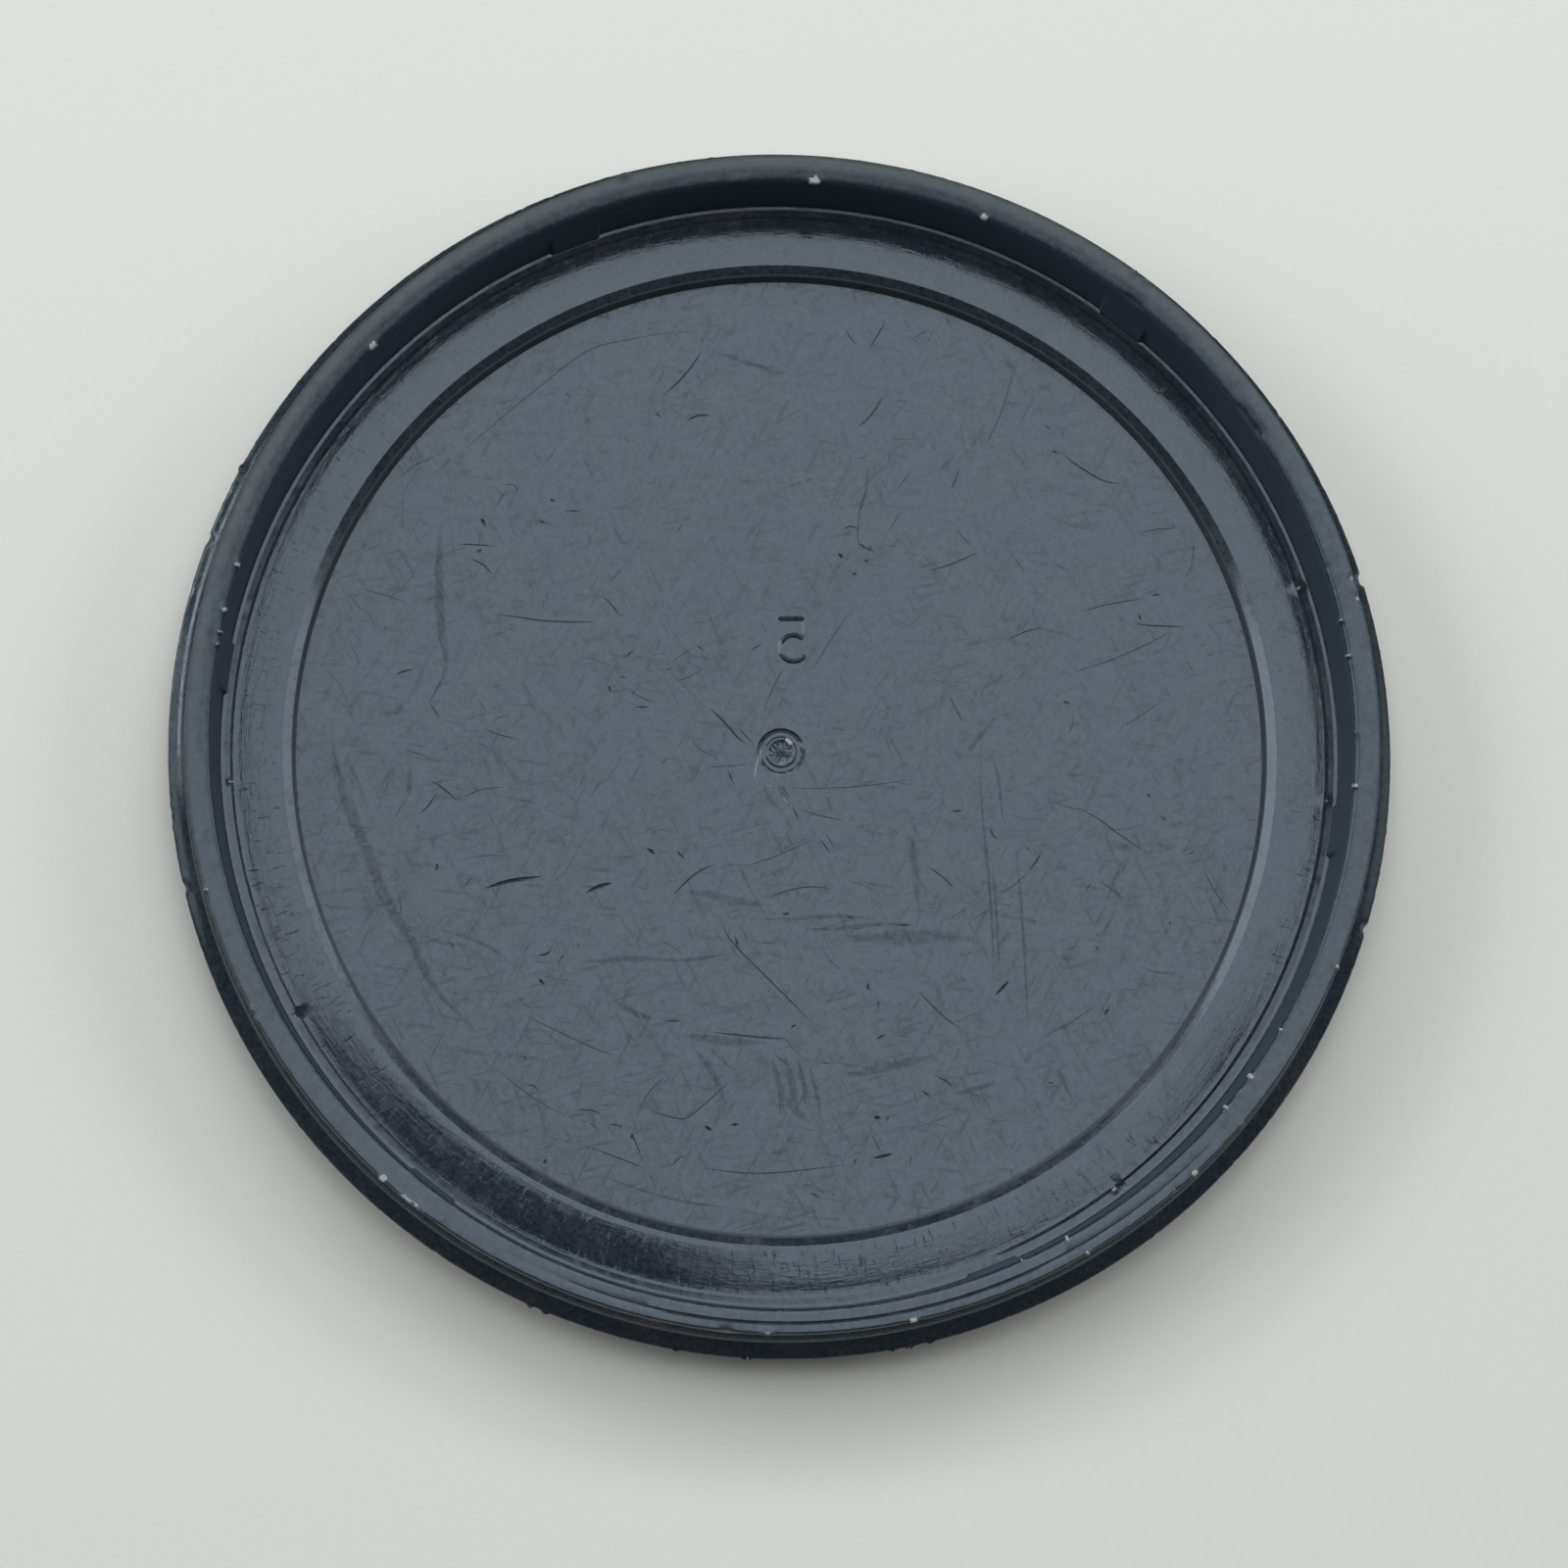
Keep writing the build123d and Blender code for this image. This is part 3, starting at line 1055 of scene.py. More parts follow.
    lower: tuple[Stroke, ...] = (
        wisp(0.20, (760, 938), (800, 938), (850, 935), (900, 938)),
        wisp(0.20, (810, 948), (850, 948), (900, 943), (940, 945)),
        wisp(0.65, (853, 953), (895, 958), (967, 955), (1000, 960)),
        wisp(0.30, (786, 1075), (795, 1105), (800, 1140)),
        wisp(0.35, (797, 1068), (808, 1105), (812, 1146)),
        wisp(0.25, (813, 1078), (820, 1105), (822, 1135)),
        wisp(0.20, (824, 1085), (832, 1110), (838, 1142)),
        wisp(0.35, (800, 1118), (812, 1133), (830, 1148)),
        wisp(0.15, (660, 981), (705, 979), (750, 972)),
        wisp(0.40, (690, 1056), (740, 1062), (790, 1065)),
        wisp(0.12, (600, 1195), (680, 1222), (760, 1235)),
        wisp(0.35, (930, 850), (934, 890), (938, 935)),
        wisp(0.30, (700, 1060), (730, 1100), (742, 1135)),
        wisp(0.45, (850, 1100), (900, 1090), (960, 1075)),
        cut(0.12, (915, 944), (930, 944)),
        cut(0.06, (780, 918), (800, 910), (825, 905), (850, 907)),
        cut(0.07, (735, 935), (740, 950), (752, 967), (775, 990), (795, 1010), (820, 1035), (835, 1050)),
        cut(0.15, (750, 955), (754, 970)),
        cut(0.04, (730, 950), (740, 965)),
        cut(0.10, (725, 1053), (750, 1056), (780, 1059), (805, 1060)),
        wisp(0.15, (720, 1065), (735, 1080), (750, 1093)),
        cut(0.07, (936, 1010), (955, 1030), (970, 1043), (982, 1050)),
        cut(0.12, (893, 1061), (905, 1055)),
        cut(0.06, (790, 1075), (805, 1088)),
        cut(0.06, (815, 1085), (823, 1110), (827, 1130)),
        cut(0.10, (795, 1120), (797, 1140)),
        cut(0.06, (835, 1085), (850, 1085)),
        cut(0.08, (955, 1098), (965, 1103), (973, 1110)),
        cut(0.12, (940, 1112), (950, 1120)),
        cut(0.05, (932, 1112), (936, 1126)),
        wisp(0.25, (970, 1118), (1000, 1110), (1020, 1105)),
        cut(0.15, (745, 1148), (755, 1147)),
        cut(0.05, (888, 1155), (900, 1178)),
        cut(0.15, (890, 1182), (900, 1180), (912, 1177)),
        cut(0.06, (710, 1191), (760, 1197), (800, 1196), (870, 1188)),
        cut(0.10, (825, 1217), (838, 1222)),
        cut(0.05, (770, 1233), (775, 1225)),
        cut(0.04, (1060, 1060), (1090, 1045), (1120, 1025)),
    )
    pit_places: tuple[Pair, ...] = (
        (493, 533), (489, 562), (553, 533), (564, 510), (858, 567), (884, 572), (872, 586), (888, 560),
        (1076, 462), (1086, 444), (1180, 608), (1164, 630), (622, 703), (445, 885), (1088, 717), (1172, 812),
        (1195, 942), (553, 1002), (535, 1080), (645, 1160), (556, 1185), (802, 932), (867, 935), (887, 1007),
        (896, 1025), (810, 1048), (895, 1140), (906, 1142), (723, 1151), (873, 1186), (929, 1184),
        (1072, 1105), (1130, 1033),
    )
    pit_halves: Pair = (2.0, 5.0)
    pit_widths: Pair = (0.09, 0.2)
    pit_bend: float = 1.5
    pit_seed: int = 8
    fleck_places: tuple[Pair, ...] = (
        (676, 615), (683, 621), (1195, 533), (1018, 458), (1255, 735), (1160, 978), (952, 925), (566, 990),
    )
    fleck_width: float = 0.14

    def strokes(self) -> tuple[Stroke, ...]:
        """Gathers the strokes that follow the photograph.

        Returns:
            All of them, area by area, with the pits and flecks last.
        """
        flecks = (fleck(self.fleck_width, place) for place in self.fleck_places)
        return (*self.upper_left, *self.upper, *self.upper_right, *self.left, *self.middle, *self.right,
                *self.lower_left, *self.lower, *self.pits(), *flecks)

    def pits(self) -> list[Stroke]:
        """Makes the pits as short bent cuts, whose lie and size follow a fixed seed.

        Returns:
            The pits in order.
        """
        draw = np.random.default_rng(self.pit_seed)
        pits = []
        for x, y in self.pit_places:
            lie = draw.uniform(0.0, math.pi)
            run = Vector((math.cos(lie), math.sin(lie))) * draw.uniform(*self.pit_halves)
            side = run.orthogonal().normalized() * draw.uniform(-self.pit_bend, self.pit_bend)
            route = ((x - run.x, y - run.y), (x + side.x, y + side.y), (x + run.x, y + run.y))
            pits.append(cut(draw.uniform(*self.pit_widths), *route))
        return pits

    def traces(self, view: Viewpoint, height: float, reach: float) -> list[Trace]:
        """Lays the strokes on the floor.

        Args:
            view: the photograph's viewpoint.
            height: the floor's height in millimetres.
            reach: how far from the middle a stroke may run.

        Returns:
            The strokes in the cap's frame.
        """
        traces = []
        for stroke in self.strokes():
            route = [Vector(view.on_level(pixel, height)) for pixel in stroke.route]
            route = [point for point in route if point.length < reach]
            if len(route) == 1:
                traces.append(Trace(stroke.mark, np.array(route), np.array([stroke.width / 2])))
            if len(route) < 2:
                continue
            width = stroke.width * (self.smear_spread if stroke.mark is Mark.WISP else 1.0)
            traces.append(self.tapered(stroke.mark, smooth_route(route, self.spacing), width))
        return traces

    def tapered(self, mark: Mark, line: list[Vector], width: float) -> Trace:
        """Gives a line a width that tapers to nothing at both ends.

        Args:
            mark: what the line is.
            line: its points.
            width: its greatest width.

        Returns:
            The line's trace.
        """
        points = np.array(line)
        steps = np.hypot(*np.diff(points, axis=0).T)
        share = np.concatenate(([0.0], np.cumsum(steps))) / np.sum(steps)
        return Trace(mark, points, width / 2 * (1.0 - np.abs(2 * share - 1.0) ** self.taper))

    def is_clear(self, middle: Vector, length: float) -> bool:
        """Returns whether a scratch keeps off the gate mark and the numeral."""
        gap = self.clear_radius + length / 2
        return all((middle - Vector(spot)).length >= gap for spot in self.clear_spots)

    def fine_traces(self, reach: float) -> list[Trace]:
        """Strews the fine scratches that cover the whole floor, by a fixed seed.

        Args:
            reach: how far from the middle a scratch may run.

        Returns:
            The scratches.
        """
        draw = np.random.default_rng(self.fine_seed)
        traces = []
        for _ in range(self.fine_count):
            length = draw.uniform(*self.fine_lengths) * draw.uniform(*self.fine_shares)
            out = (reach - length / 2) * math.sqrt(draw.uniform())
            turn, lie = draw.uniform(0.0, 2 * math.pi, 2)
            bow = draw.uniform(-self.fine_bow, self.fine_bow) * length
            middle = Vector((out * math.cos(turn), out * math.sin(turn)))
            if not self.is_clear(middle, length):
                continue
            along = Vector((math.cos(lie), math.sin(lie))) * (length / 2)
            aside = along.orthogonal().normalized() * bow
            line = smooth_route([middle - along, middle + aside, middle + along], self.spacing)
            traces.append(self.tapered(Mark.CUT, line, draw.uniform(*self.fine_widths)))
        return traces


@dataclass(frozen=True)
class Numeral:
    """Mould-cavity numeral, a raised mirrored five. Millimetres, degrees and shares of the strokes."""

    x: float = 0.68
    y: float = 5.25
    height: float = 2.15
    bar: float = 1.2
    bar_stops: tuple[float, ...] = (1.06, 0.96, 0.5, 0.04, -0.06)
    stem_stops: tuple[float, ...] = (0.1, 0.25, 0.75, 0.9)
    stem_share: float = 0.45
    bowl_radius: float = 0.66
    bowl_start: float = 40.0
    bowl_sweep: float = 290.0
    bowl_points: int = 28
    stroke: float = 0.26
    proud: float = 0.06

    def traces(self) -> list[Trace]:
        """Lays the numeral on the floor.

        Returns:
            Its three strokes: a bar, a faint stem and a bowl that opens to the right.
        """
        stem = self.bowl_radius * math.cos(math.radians(self.bowl_start))
        top = self.height - self.bowl_radius
        turns = np.radians(self.bowl_start + np.linspace(0.0, self.bowl_sweep, self.bowl_points))
        bowl = self.bowl_radius * np.stack((np.cos(turns), np.sin(turns)), axis=1)
        bar = np.array([(stem - self.bar * share, top) for share in self.bar_stops])
        upright = np.array([(stem, top + (bowl[0, 1] - top) * share) for share in self.stem_stops])
        traces = []
        for line, share in ((bar, 1.0), (upright, self.stem_share), (bowl, 1.0)):
            halves = np.full(len(line), self.stroke / 2 * share)
            halves[[0, -1]] = 0.0
            traces.append(Trace(Mark.RIDGE, line + (self.x, self.y), halves))
        return traces


@dataclass(frozen=True)
class GateMark:
    """Mark of the gate in the floor's middle, a scored ring round a torn stub with a painted glint.
    Millimetres and degrees.
    """

    x: float = 0.03
    y: float = 0.05
    radii: tuple[float, ...] = (1.2, 1.08, 0.97, 0.8, 0.71, 0.62, 0.5, 0.37, 0.24, 0.11, 0.02)
    heights: tuple[float, ...] = (0.0, -0.08, -0.012, -0.012, 0.043, 0.045, 0.005, -0.01, 0.0, 0.03, 0.036)
    border: float = 0.001
    score_ends: int = 2
    score_faces: float = 110.0
    score_middle: float = 0.5
    score_weakest: float = 0.35
    torn: float = 0.016
    torn_radius: float = 0.6
    glint_angle: float = 50.0
    glint_half: float = 17.0
    glint_radii: Pair = (0.58, 0.73)
    points: int = 44
    seed: int = 11

    def rings(self) -> list[np.ndarray]:
        """Lays out the closed lines that the mark's mesh follows.

        Returns:
            One line for each radius.
        """
        turns = np.linspace(0.0, 2 * math.pi, self.points + 1)
        circle = np.stack((np.cos(turns), np.sin(turns)), axis=1)
        return [circle * radius + (self.x, self.y) for radius in self.radii]

    def dress(self, spots: np.ndarray, heights: np.ndarray, chips_and_glints: np.ndarray) -> None:
        """Shapes the floor inside the mark.

        Args:
            spots: places on the floor.
            heights: their heights above it, which are changed.
            chips_and_glints: their share of pale plastic and of the painted glint, which is changed.
        """
        aside = spots - (self.x, self.y)
        radius = np.hypot(*aside.T)
        turn = np.degrees(np.arctan2(aside[:, 1], aside[:, 0]))
        inside = radius < self.radii[0] - self.border
        shape = np.interp(radius, self.radii[::-1], self.heights[::-1])
        faces = np.cos(np.radians(turn - self.score_faces))
        weak = self.score_weakest + (1.0 - self.score_weakest) * np.clip(self.score_middle + faces, 0.0, 1.0)
        shape = np.where(radius > self.radii[self.score_ends], shape * weak, shape)
        roughness = np.random.default_rng(self.seed).uniform(-self.torn, self.torn, len(spots))
        shape = np.where(radius < self.torn_radius, shape + roughness, shape)
        heights[inside] = shape[inside]
        # Painted glint: the stub's upper right facets get the pale colour, which stands in for a highlight.
        glint = (np.abs(turn - self.glint_angle) < self.glint_half) & (radius > self.glint_radii[0])
        chips_and_glints[glint & (radius < self.glint_radii[1])] = 1.0


@dataclass(frozen=True)
class FloorDisc:
    """The floor inside the cap, with its gate mark, numeral and wear. Millimetres."""

    radius: float
    height: float
    segments: int
    view: Viewpoint
    wear: FloorWear = FloorWear()
    gate: GateMark = GateMark()
    numeral: Numeral = Numeral()
    margin: float = 0.2
    steepness: float = 0.65
    fleck_rise: float = 0.5
    dusty_half: float = 0.07
    same_point: float = 1e-4

    def build(self) -> bpy.types.Object:
        """Makes the disc as a mesh whose edges follow every mark on it.

        Returns:
            The disc's object.
        """
        reach = self.radius - self.margin
        traces = [*self.wear.traces(self.view, self.height, reach), *self.wear.fine_traces(reach),
                  *self.numeral.traces()]
        turns = np.arange(self.segments) * (2 * math.pi / self.segments)
        points = [Vector((self.radius * math.cos(turn), self.radius * math.sin(turn))) for turn in turns]
        edges: list[tuple[int, int]] = []
        for line in [*(line for trace in traces for line in trace.lines()), *self.gate.rings()]:
            first = len(points)
            points.extend(Vector(point) for point in line)
            edges.extend((index, index + 1) for index in range(first, len(points) - 1))
        whole_hull = 0
        flat, _, triangles, *_ = delaunay_2d_cdt(points, edges, [], whole_hull, self.same_point)
        spots = np.array([(point.x, point.y) for point in flat])
        heights, shares = self.marked(spots, traces)
        places = np.column_stack((spots, self.height + heights)) * MM
        mesh = bpy.data.meshes.new("floor")
        mesh.from_pydata(places.tolist(), [], triangles)
        for name, values in shares.items():
            mesh.attributes.new(name, "FLOAT", "POINT").data.foreach_set("value", values.astype(np.float32))
        LOG.info("floor disc: %d marks, %d triangles", len(traces), len(triangles))
        return placed("floor", mesh)

    def marked(self, spots: np.ndarray, traces: list[Trace]) -> tuple[np.ndarray, dict[str, np.ndarray]]:
        """Works out what the marks do to the floor.

        Args:
            spots: places on the floor.
            traces: the marks.

        Returns:
            The height of each spot above the floor, and its shares of smeared plastic, of pale plastic
            (chipped spots, flecks and the gate's painted glint) and of dusty plastic.
        """
        sunk, raised, scuffs, chips_and_glints, dust = np.zeros((5, len(spots)))
        for trace in traces:
            inside = trace.depth_inside(spots)
            share = inside / trace.halves.max()
            if trace.mark is Mark.CUT:
                sunk = np.minimum(sunk, -self.steepness * inside)
                dust = np.maximum(dust, share * (trace.halves.max() < self.dusty_half))
            elif trace.mark is Mark.WISP:
                scuffs = np.maximum(scuffs, share)
            elif trace.mark is Mark.RIDGE:
                raised = np.maximum(raised, self.numeral.proud * inside / (self.numeral.stroke / 2))
            else:
                raised = np.maximum(raised, self.fleck_rise * inside)
                chips_and_glints = np.maximum(chips_and_glints, share)
        heights = sunk + raised
        self.gate.dress(spots, heights, chips_and_glints)
        return heights, {"scuff": scuffs, "chip_and_glint": chips_and_glints, "dust": dust}


class Edge(Enum):
    """Edges of the cap that wear, named as their nicks are in EdgeWear."""

    RIM_INNER = "rim_inner"
    RIM_OUTER = "rim_outer"
    WIDEST = "widest"
    SEAT = "seat"


@dataclass(frozen=True)
class Nick:
    """Damage to an edge at a photograph pixel. Millimetres; a burr bites less than nothing."""

    pixel: Pair
    length: float
    bite: float
    pale: float = 0.0


@dataclass(frozen=True)
class EdgeLine:
    """Where an edge runs in the section, which way its plastic lies, and how ragged it is. Millimetres."""

    radius: float
    height: float
    into: Pair
    ragged: float


@dataclass(frozen=True)
class EdgeWear:
    """Nicks, burrs and raggedness along the cap's edges. Millimetres and photograph pixels."""

    reach: float = 0.32
    seed: int = 5
    waves: int = 60
    wave_counts: tuple[int, int] = (60, 420)
    calm: float = 0.8
    bite_rise: float = 1.6
    bite_ragged: float = 0.3
    pale_rise: float = 1.3
    pale_reach: float = 1.6
    rim_inner: tuple[Nick, ...] = (
        Nick((831, 184), 0.9, -0.28, 1.0),
        Nick((1004, 221), 0.6, -0.15, 0.9),
        Nick((747, 182), 0.5, -0.1, 0.35),
        Nick((759, 182), 0.4, -0.1, 0.35),
        Nick((701, 189), 0.3, -0.08, 0.3),
        Nick((380, 352), 0.9, -0.12, 0.8),
        Nick((245, 577), 0.4, -0.12, 0.8),
        Nick((228, 622), 0.5, -0.12, 0.7),
        Nick((221, 643), 0.3, -0.12, 0.8),
        Nick((219, 656), 0.3, -0.12, 0.7),
        Nick((1160, 303), 1.6, 0.12),
        Nick((1268, 424), 1.6, 0.12),
        Nick((1279, 441), 1.1, 0.18, 0.15),
        Nick((1366, 634), 0.3, -0.1, 0.6),
        Nick((1375, 669), 0.3, -0.1, 0.7),
        Nick((1384, 747), 0.3, -0.1, 0.6),
        Nick((1380, 801), 0.35, -0.12, 0.8),
        Nick((1310, 1053), 0.3, -0.1, 0.6),
        Nick((1277, 1099), 0.4, -0.12, 1.0),
        Nick((1264, 1113), 0.3, -0.1, 0.6),
        Nick((1251, 1130), 0.4, -0.1, 0.7),
        Nick((1089, 1264), 0.35, -0.1, 0.7),
        Nick((1042, 1283), 0.4, -0.1, 0.5),
    )
    rim_outer: tuple[Nick, ...] = (
        Nick((636, 176), 0.8, -0.2),
        Nick((1159, 276), 0.4, -0.16),
        Nick((1172, 284), 0.5, -0.12),
        Nick((1372, 592), 0.5, 0.1, 0.6),
        Nick((1381, 611), 0.6, 0.1, 0.6),
        Nick((1370, 989), 0.4, -0.1, 0.7),
        Nick((1267, 1149), 0.3, -0.1, 0.5),
        Nick((1223, 1201), 0.4, -0.1, 0.9),
        Nick((1201, 1219), 0.4, 0.08, 0.6),
        Nick((1113, 1283), 0.35, -0.1, 0.8),
        Nick((932, 1344), 0.6, -0.12, 0.9),
        Nick((783, 1366), 0.7, -0.18, 0.4),
        Nick((741, 1353), 0.8, 0.1, 0.2),
        Nick((389, 1204), 0.6, -0.14, 1.0),
        Nick((416, 1230), 3.6, -0.05, 0.5),
        Nick((206, 908), 0.4, -0.1, 0.6),
        Nick((255, 1031), 0.4, -0.1, 0.4),
        Nick((261, 1041), 0.4, -0.1, 0.4),
    )
    widest: tuple[Nick, ...] = (
        Nick((1388, 592), 0.7, 0.22),
        Nick((1393, 948), 0.6, 0.2),
        Nick((188, 906), 0.5, 0.15),
        Nick((247, 478), 0.5, -0.12),
        Nick((215, 550), 0.6, 0.15),
        Nick((539, 1336), 0.35, -0.18, 0.5),
        Nick((556, 1338), 0.4, -0.18, 0.5),
        Nick((690, 1378), 0.3, -0.12, 0.5),
        Nick((762, 1384), 0.5, -0.12, 0.6),
        Nick((912, 1379), 0.35, -0.14, 0.6),
        Nick((929, 1380), 0.4, -0.18, 0.7),
        Nick((950, 1371), 0.35, -0.12, 0.5),
    )
    seat: tuple[Nick, ...] = (
        Nick((298, 1037), 0.45, 0.15),
        Nick((1149, 1216), 0.35, 0.12),
        Nick((1143, 1221), 0.5, -0.08, 0.7),
        Nick((1334, 597), 0.5, -0.15, 0.6),
        Nick((1362, 819), 0.6, -0.1, 0.5),
        Nick((221, 798), 0.25, -0.06, 0.6),
    )

    def nicks(self, edge: Edge) -> tuple[Nick, ...]:
        """Returns the damage to one edge."""
        return getattr(self, edge.value)

    def ragged(self, turns: np.ndarray, seed: int) -> np.ndarray:
        """Makes seeded raggedness round an edge, nothing over most of it and up to about 1 in places.

        Args:
            turns: angles round the axis.
            seed: which pattern.

        Returns:
            The raggedness at each angle.
        """
        draw = np.random.default_rng(seed)
        counts = draw.integers(*self.wave_counts, self.waves)
        phases = draw.uniform(0.0, 2 * math.pi, self.waves)
        swell = sum(np.sin(count * turns + phase) for count, phase in zip(counts, phases))
        swell /= math.sqrt(self.waves)
        return np.sign(swell) * np.maximum(np.abs(swell) - self.calm, 0.0)

    def apply(self, mesh: bpy.types.Mesh, lines: dict[Edge, EdgeLine], view: Viewpoint) -> None:
        """Wears the edges of a mesh.

        Args:
            mesh: the cap's mesh, which is changed.
            lines: where each edge runs.
            view: the photograph's viewpoint.
        """
        count = len(mesh.vertices)
        flat = np.empty(count * 3)
        mesh.vertices.foreach_get("co", flat)
        places = flat.reshape(-1, 3) / MM
        chips_and_glints = np.zeros(count, dtype=np.float32)
        mesh.attributes["chip_and_glint"].data.foreach_get("value", chips_and_glints)
        radius = np.hypot(places[:, 0], places[:, 1])
        turns = np.arctan2(places[:, 1], places[:, 0])
        for order, (edge, line) in enumerate(lines.items()):
            near = np.hypot(radius - line.radius, places[:, 2] - line.height)
            rows = np.flatnonzero(near < self.reach)
            share = 1.0 - near[rows] / self.reach
            rough = self.ragged(turns[rows], self.seed + order)
            bite = line.ragged * rough
            for nick in self.nicks(edge):
                x, y = view.on_level(nick.pixel, line.height)
                aside = np.angle(np.exp(1j * (turns[rows] - math.atan2(y, x)))) * line.radius
                peak = np.maximum(1.0 - np.abs(aside) / (nick.length / 2), 0.0)
                bitten = np.minimum(self.bite_rise * peak, 1.0) * (1.0 + self.bite_ragged * rough)
                bite = bite + nick.bite * bitten
                bared = np.minimum(self.pale_rise * peak, 1.0) * np.minimum(self.pale_reach * share, 1.0)
                chips_and_glints[rows] = np.maximum(chips_and_glints[rows], nick.pale * bared)
            shift = bite * share
            radius[rows] += shift * line.into[0]
            places[rows, 2] += shift * line.into[1]
        places[:, 0] = radius * np.cos(turns)
        places[:, 1] = radius * np.sin(turns)
        mesh.vertices.foreach_set("co", (places * MM).ravel())
        mesh.attributes["chip_and_glint"].data.foreach_set("value", chips_and_glints)
        LOG.info("edge wear: %d nicks", sum(len(self.nicks(edge)) for edge in lines))


@dataclass(frozen=True)
class RingCut:
    """A cut along one row of the section, with its share of the depth by angle. Millimetres and degrees."""

    radius: float
    height: float
    depth: float
    shares: tuple[Pair, ...]
    tolerance: float = 0.01

    def apply(self, mesh: bpy.types.Mesh) -> None:
        """Sinks the row.

        Args:
            mesh: the cap's mesh, which is changed.
        """
        angles, shares = zip(*self.shares)
        for vertex in mesh.vertices:
            x, y, z = vertex.co / MM
            if abs(z - self.height) < self.tolerance and abs(math.hypot(x, y) - self.radius) < self.tolerance:
                share = np.interp(math.degrees(math.atan2(y, x)), angles, shares, period=360.0)
                vertex.co.z -= self.depth * share * MM


@dataclass(frozen=True)
class Corner:
    """A corner of the cap's section, with the rows up to the next corner. Millimetres."""

    radius: float
    height: float
    rounding: float = 0.0
    rows: int = 1


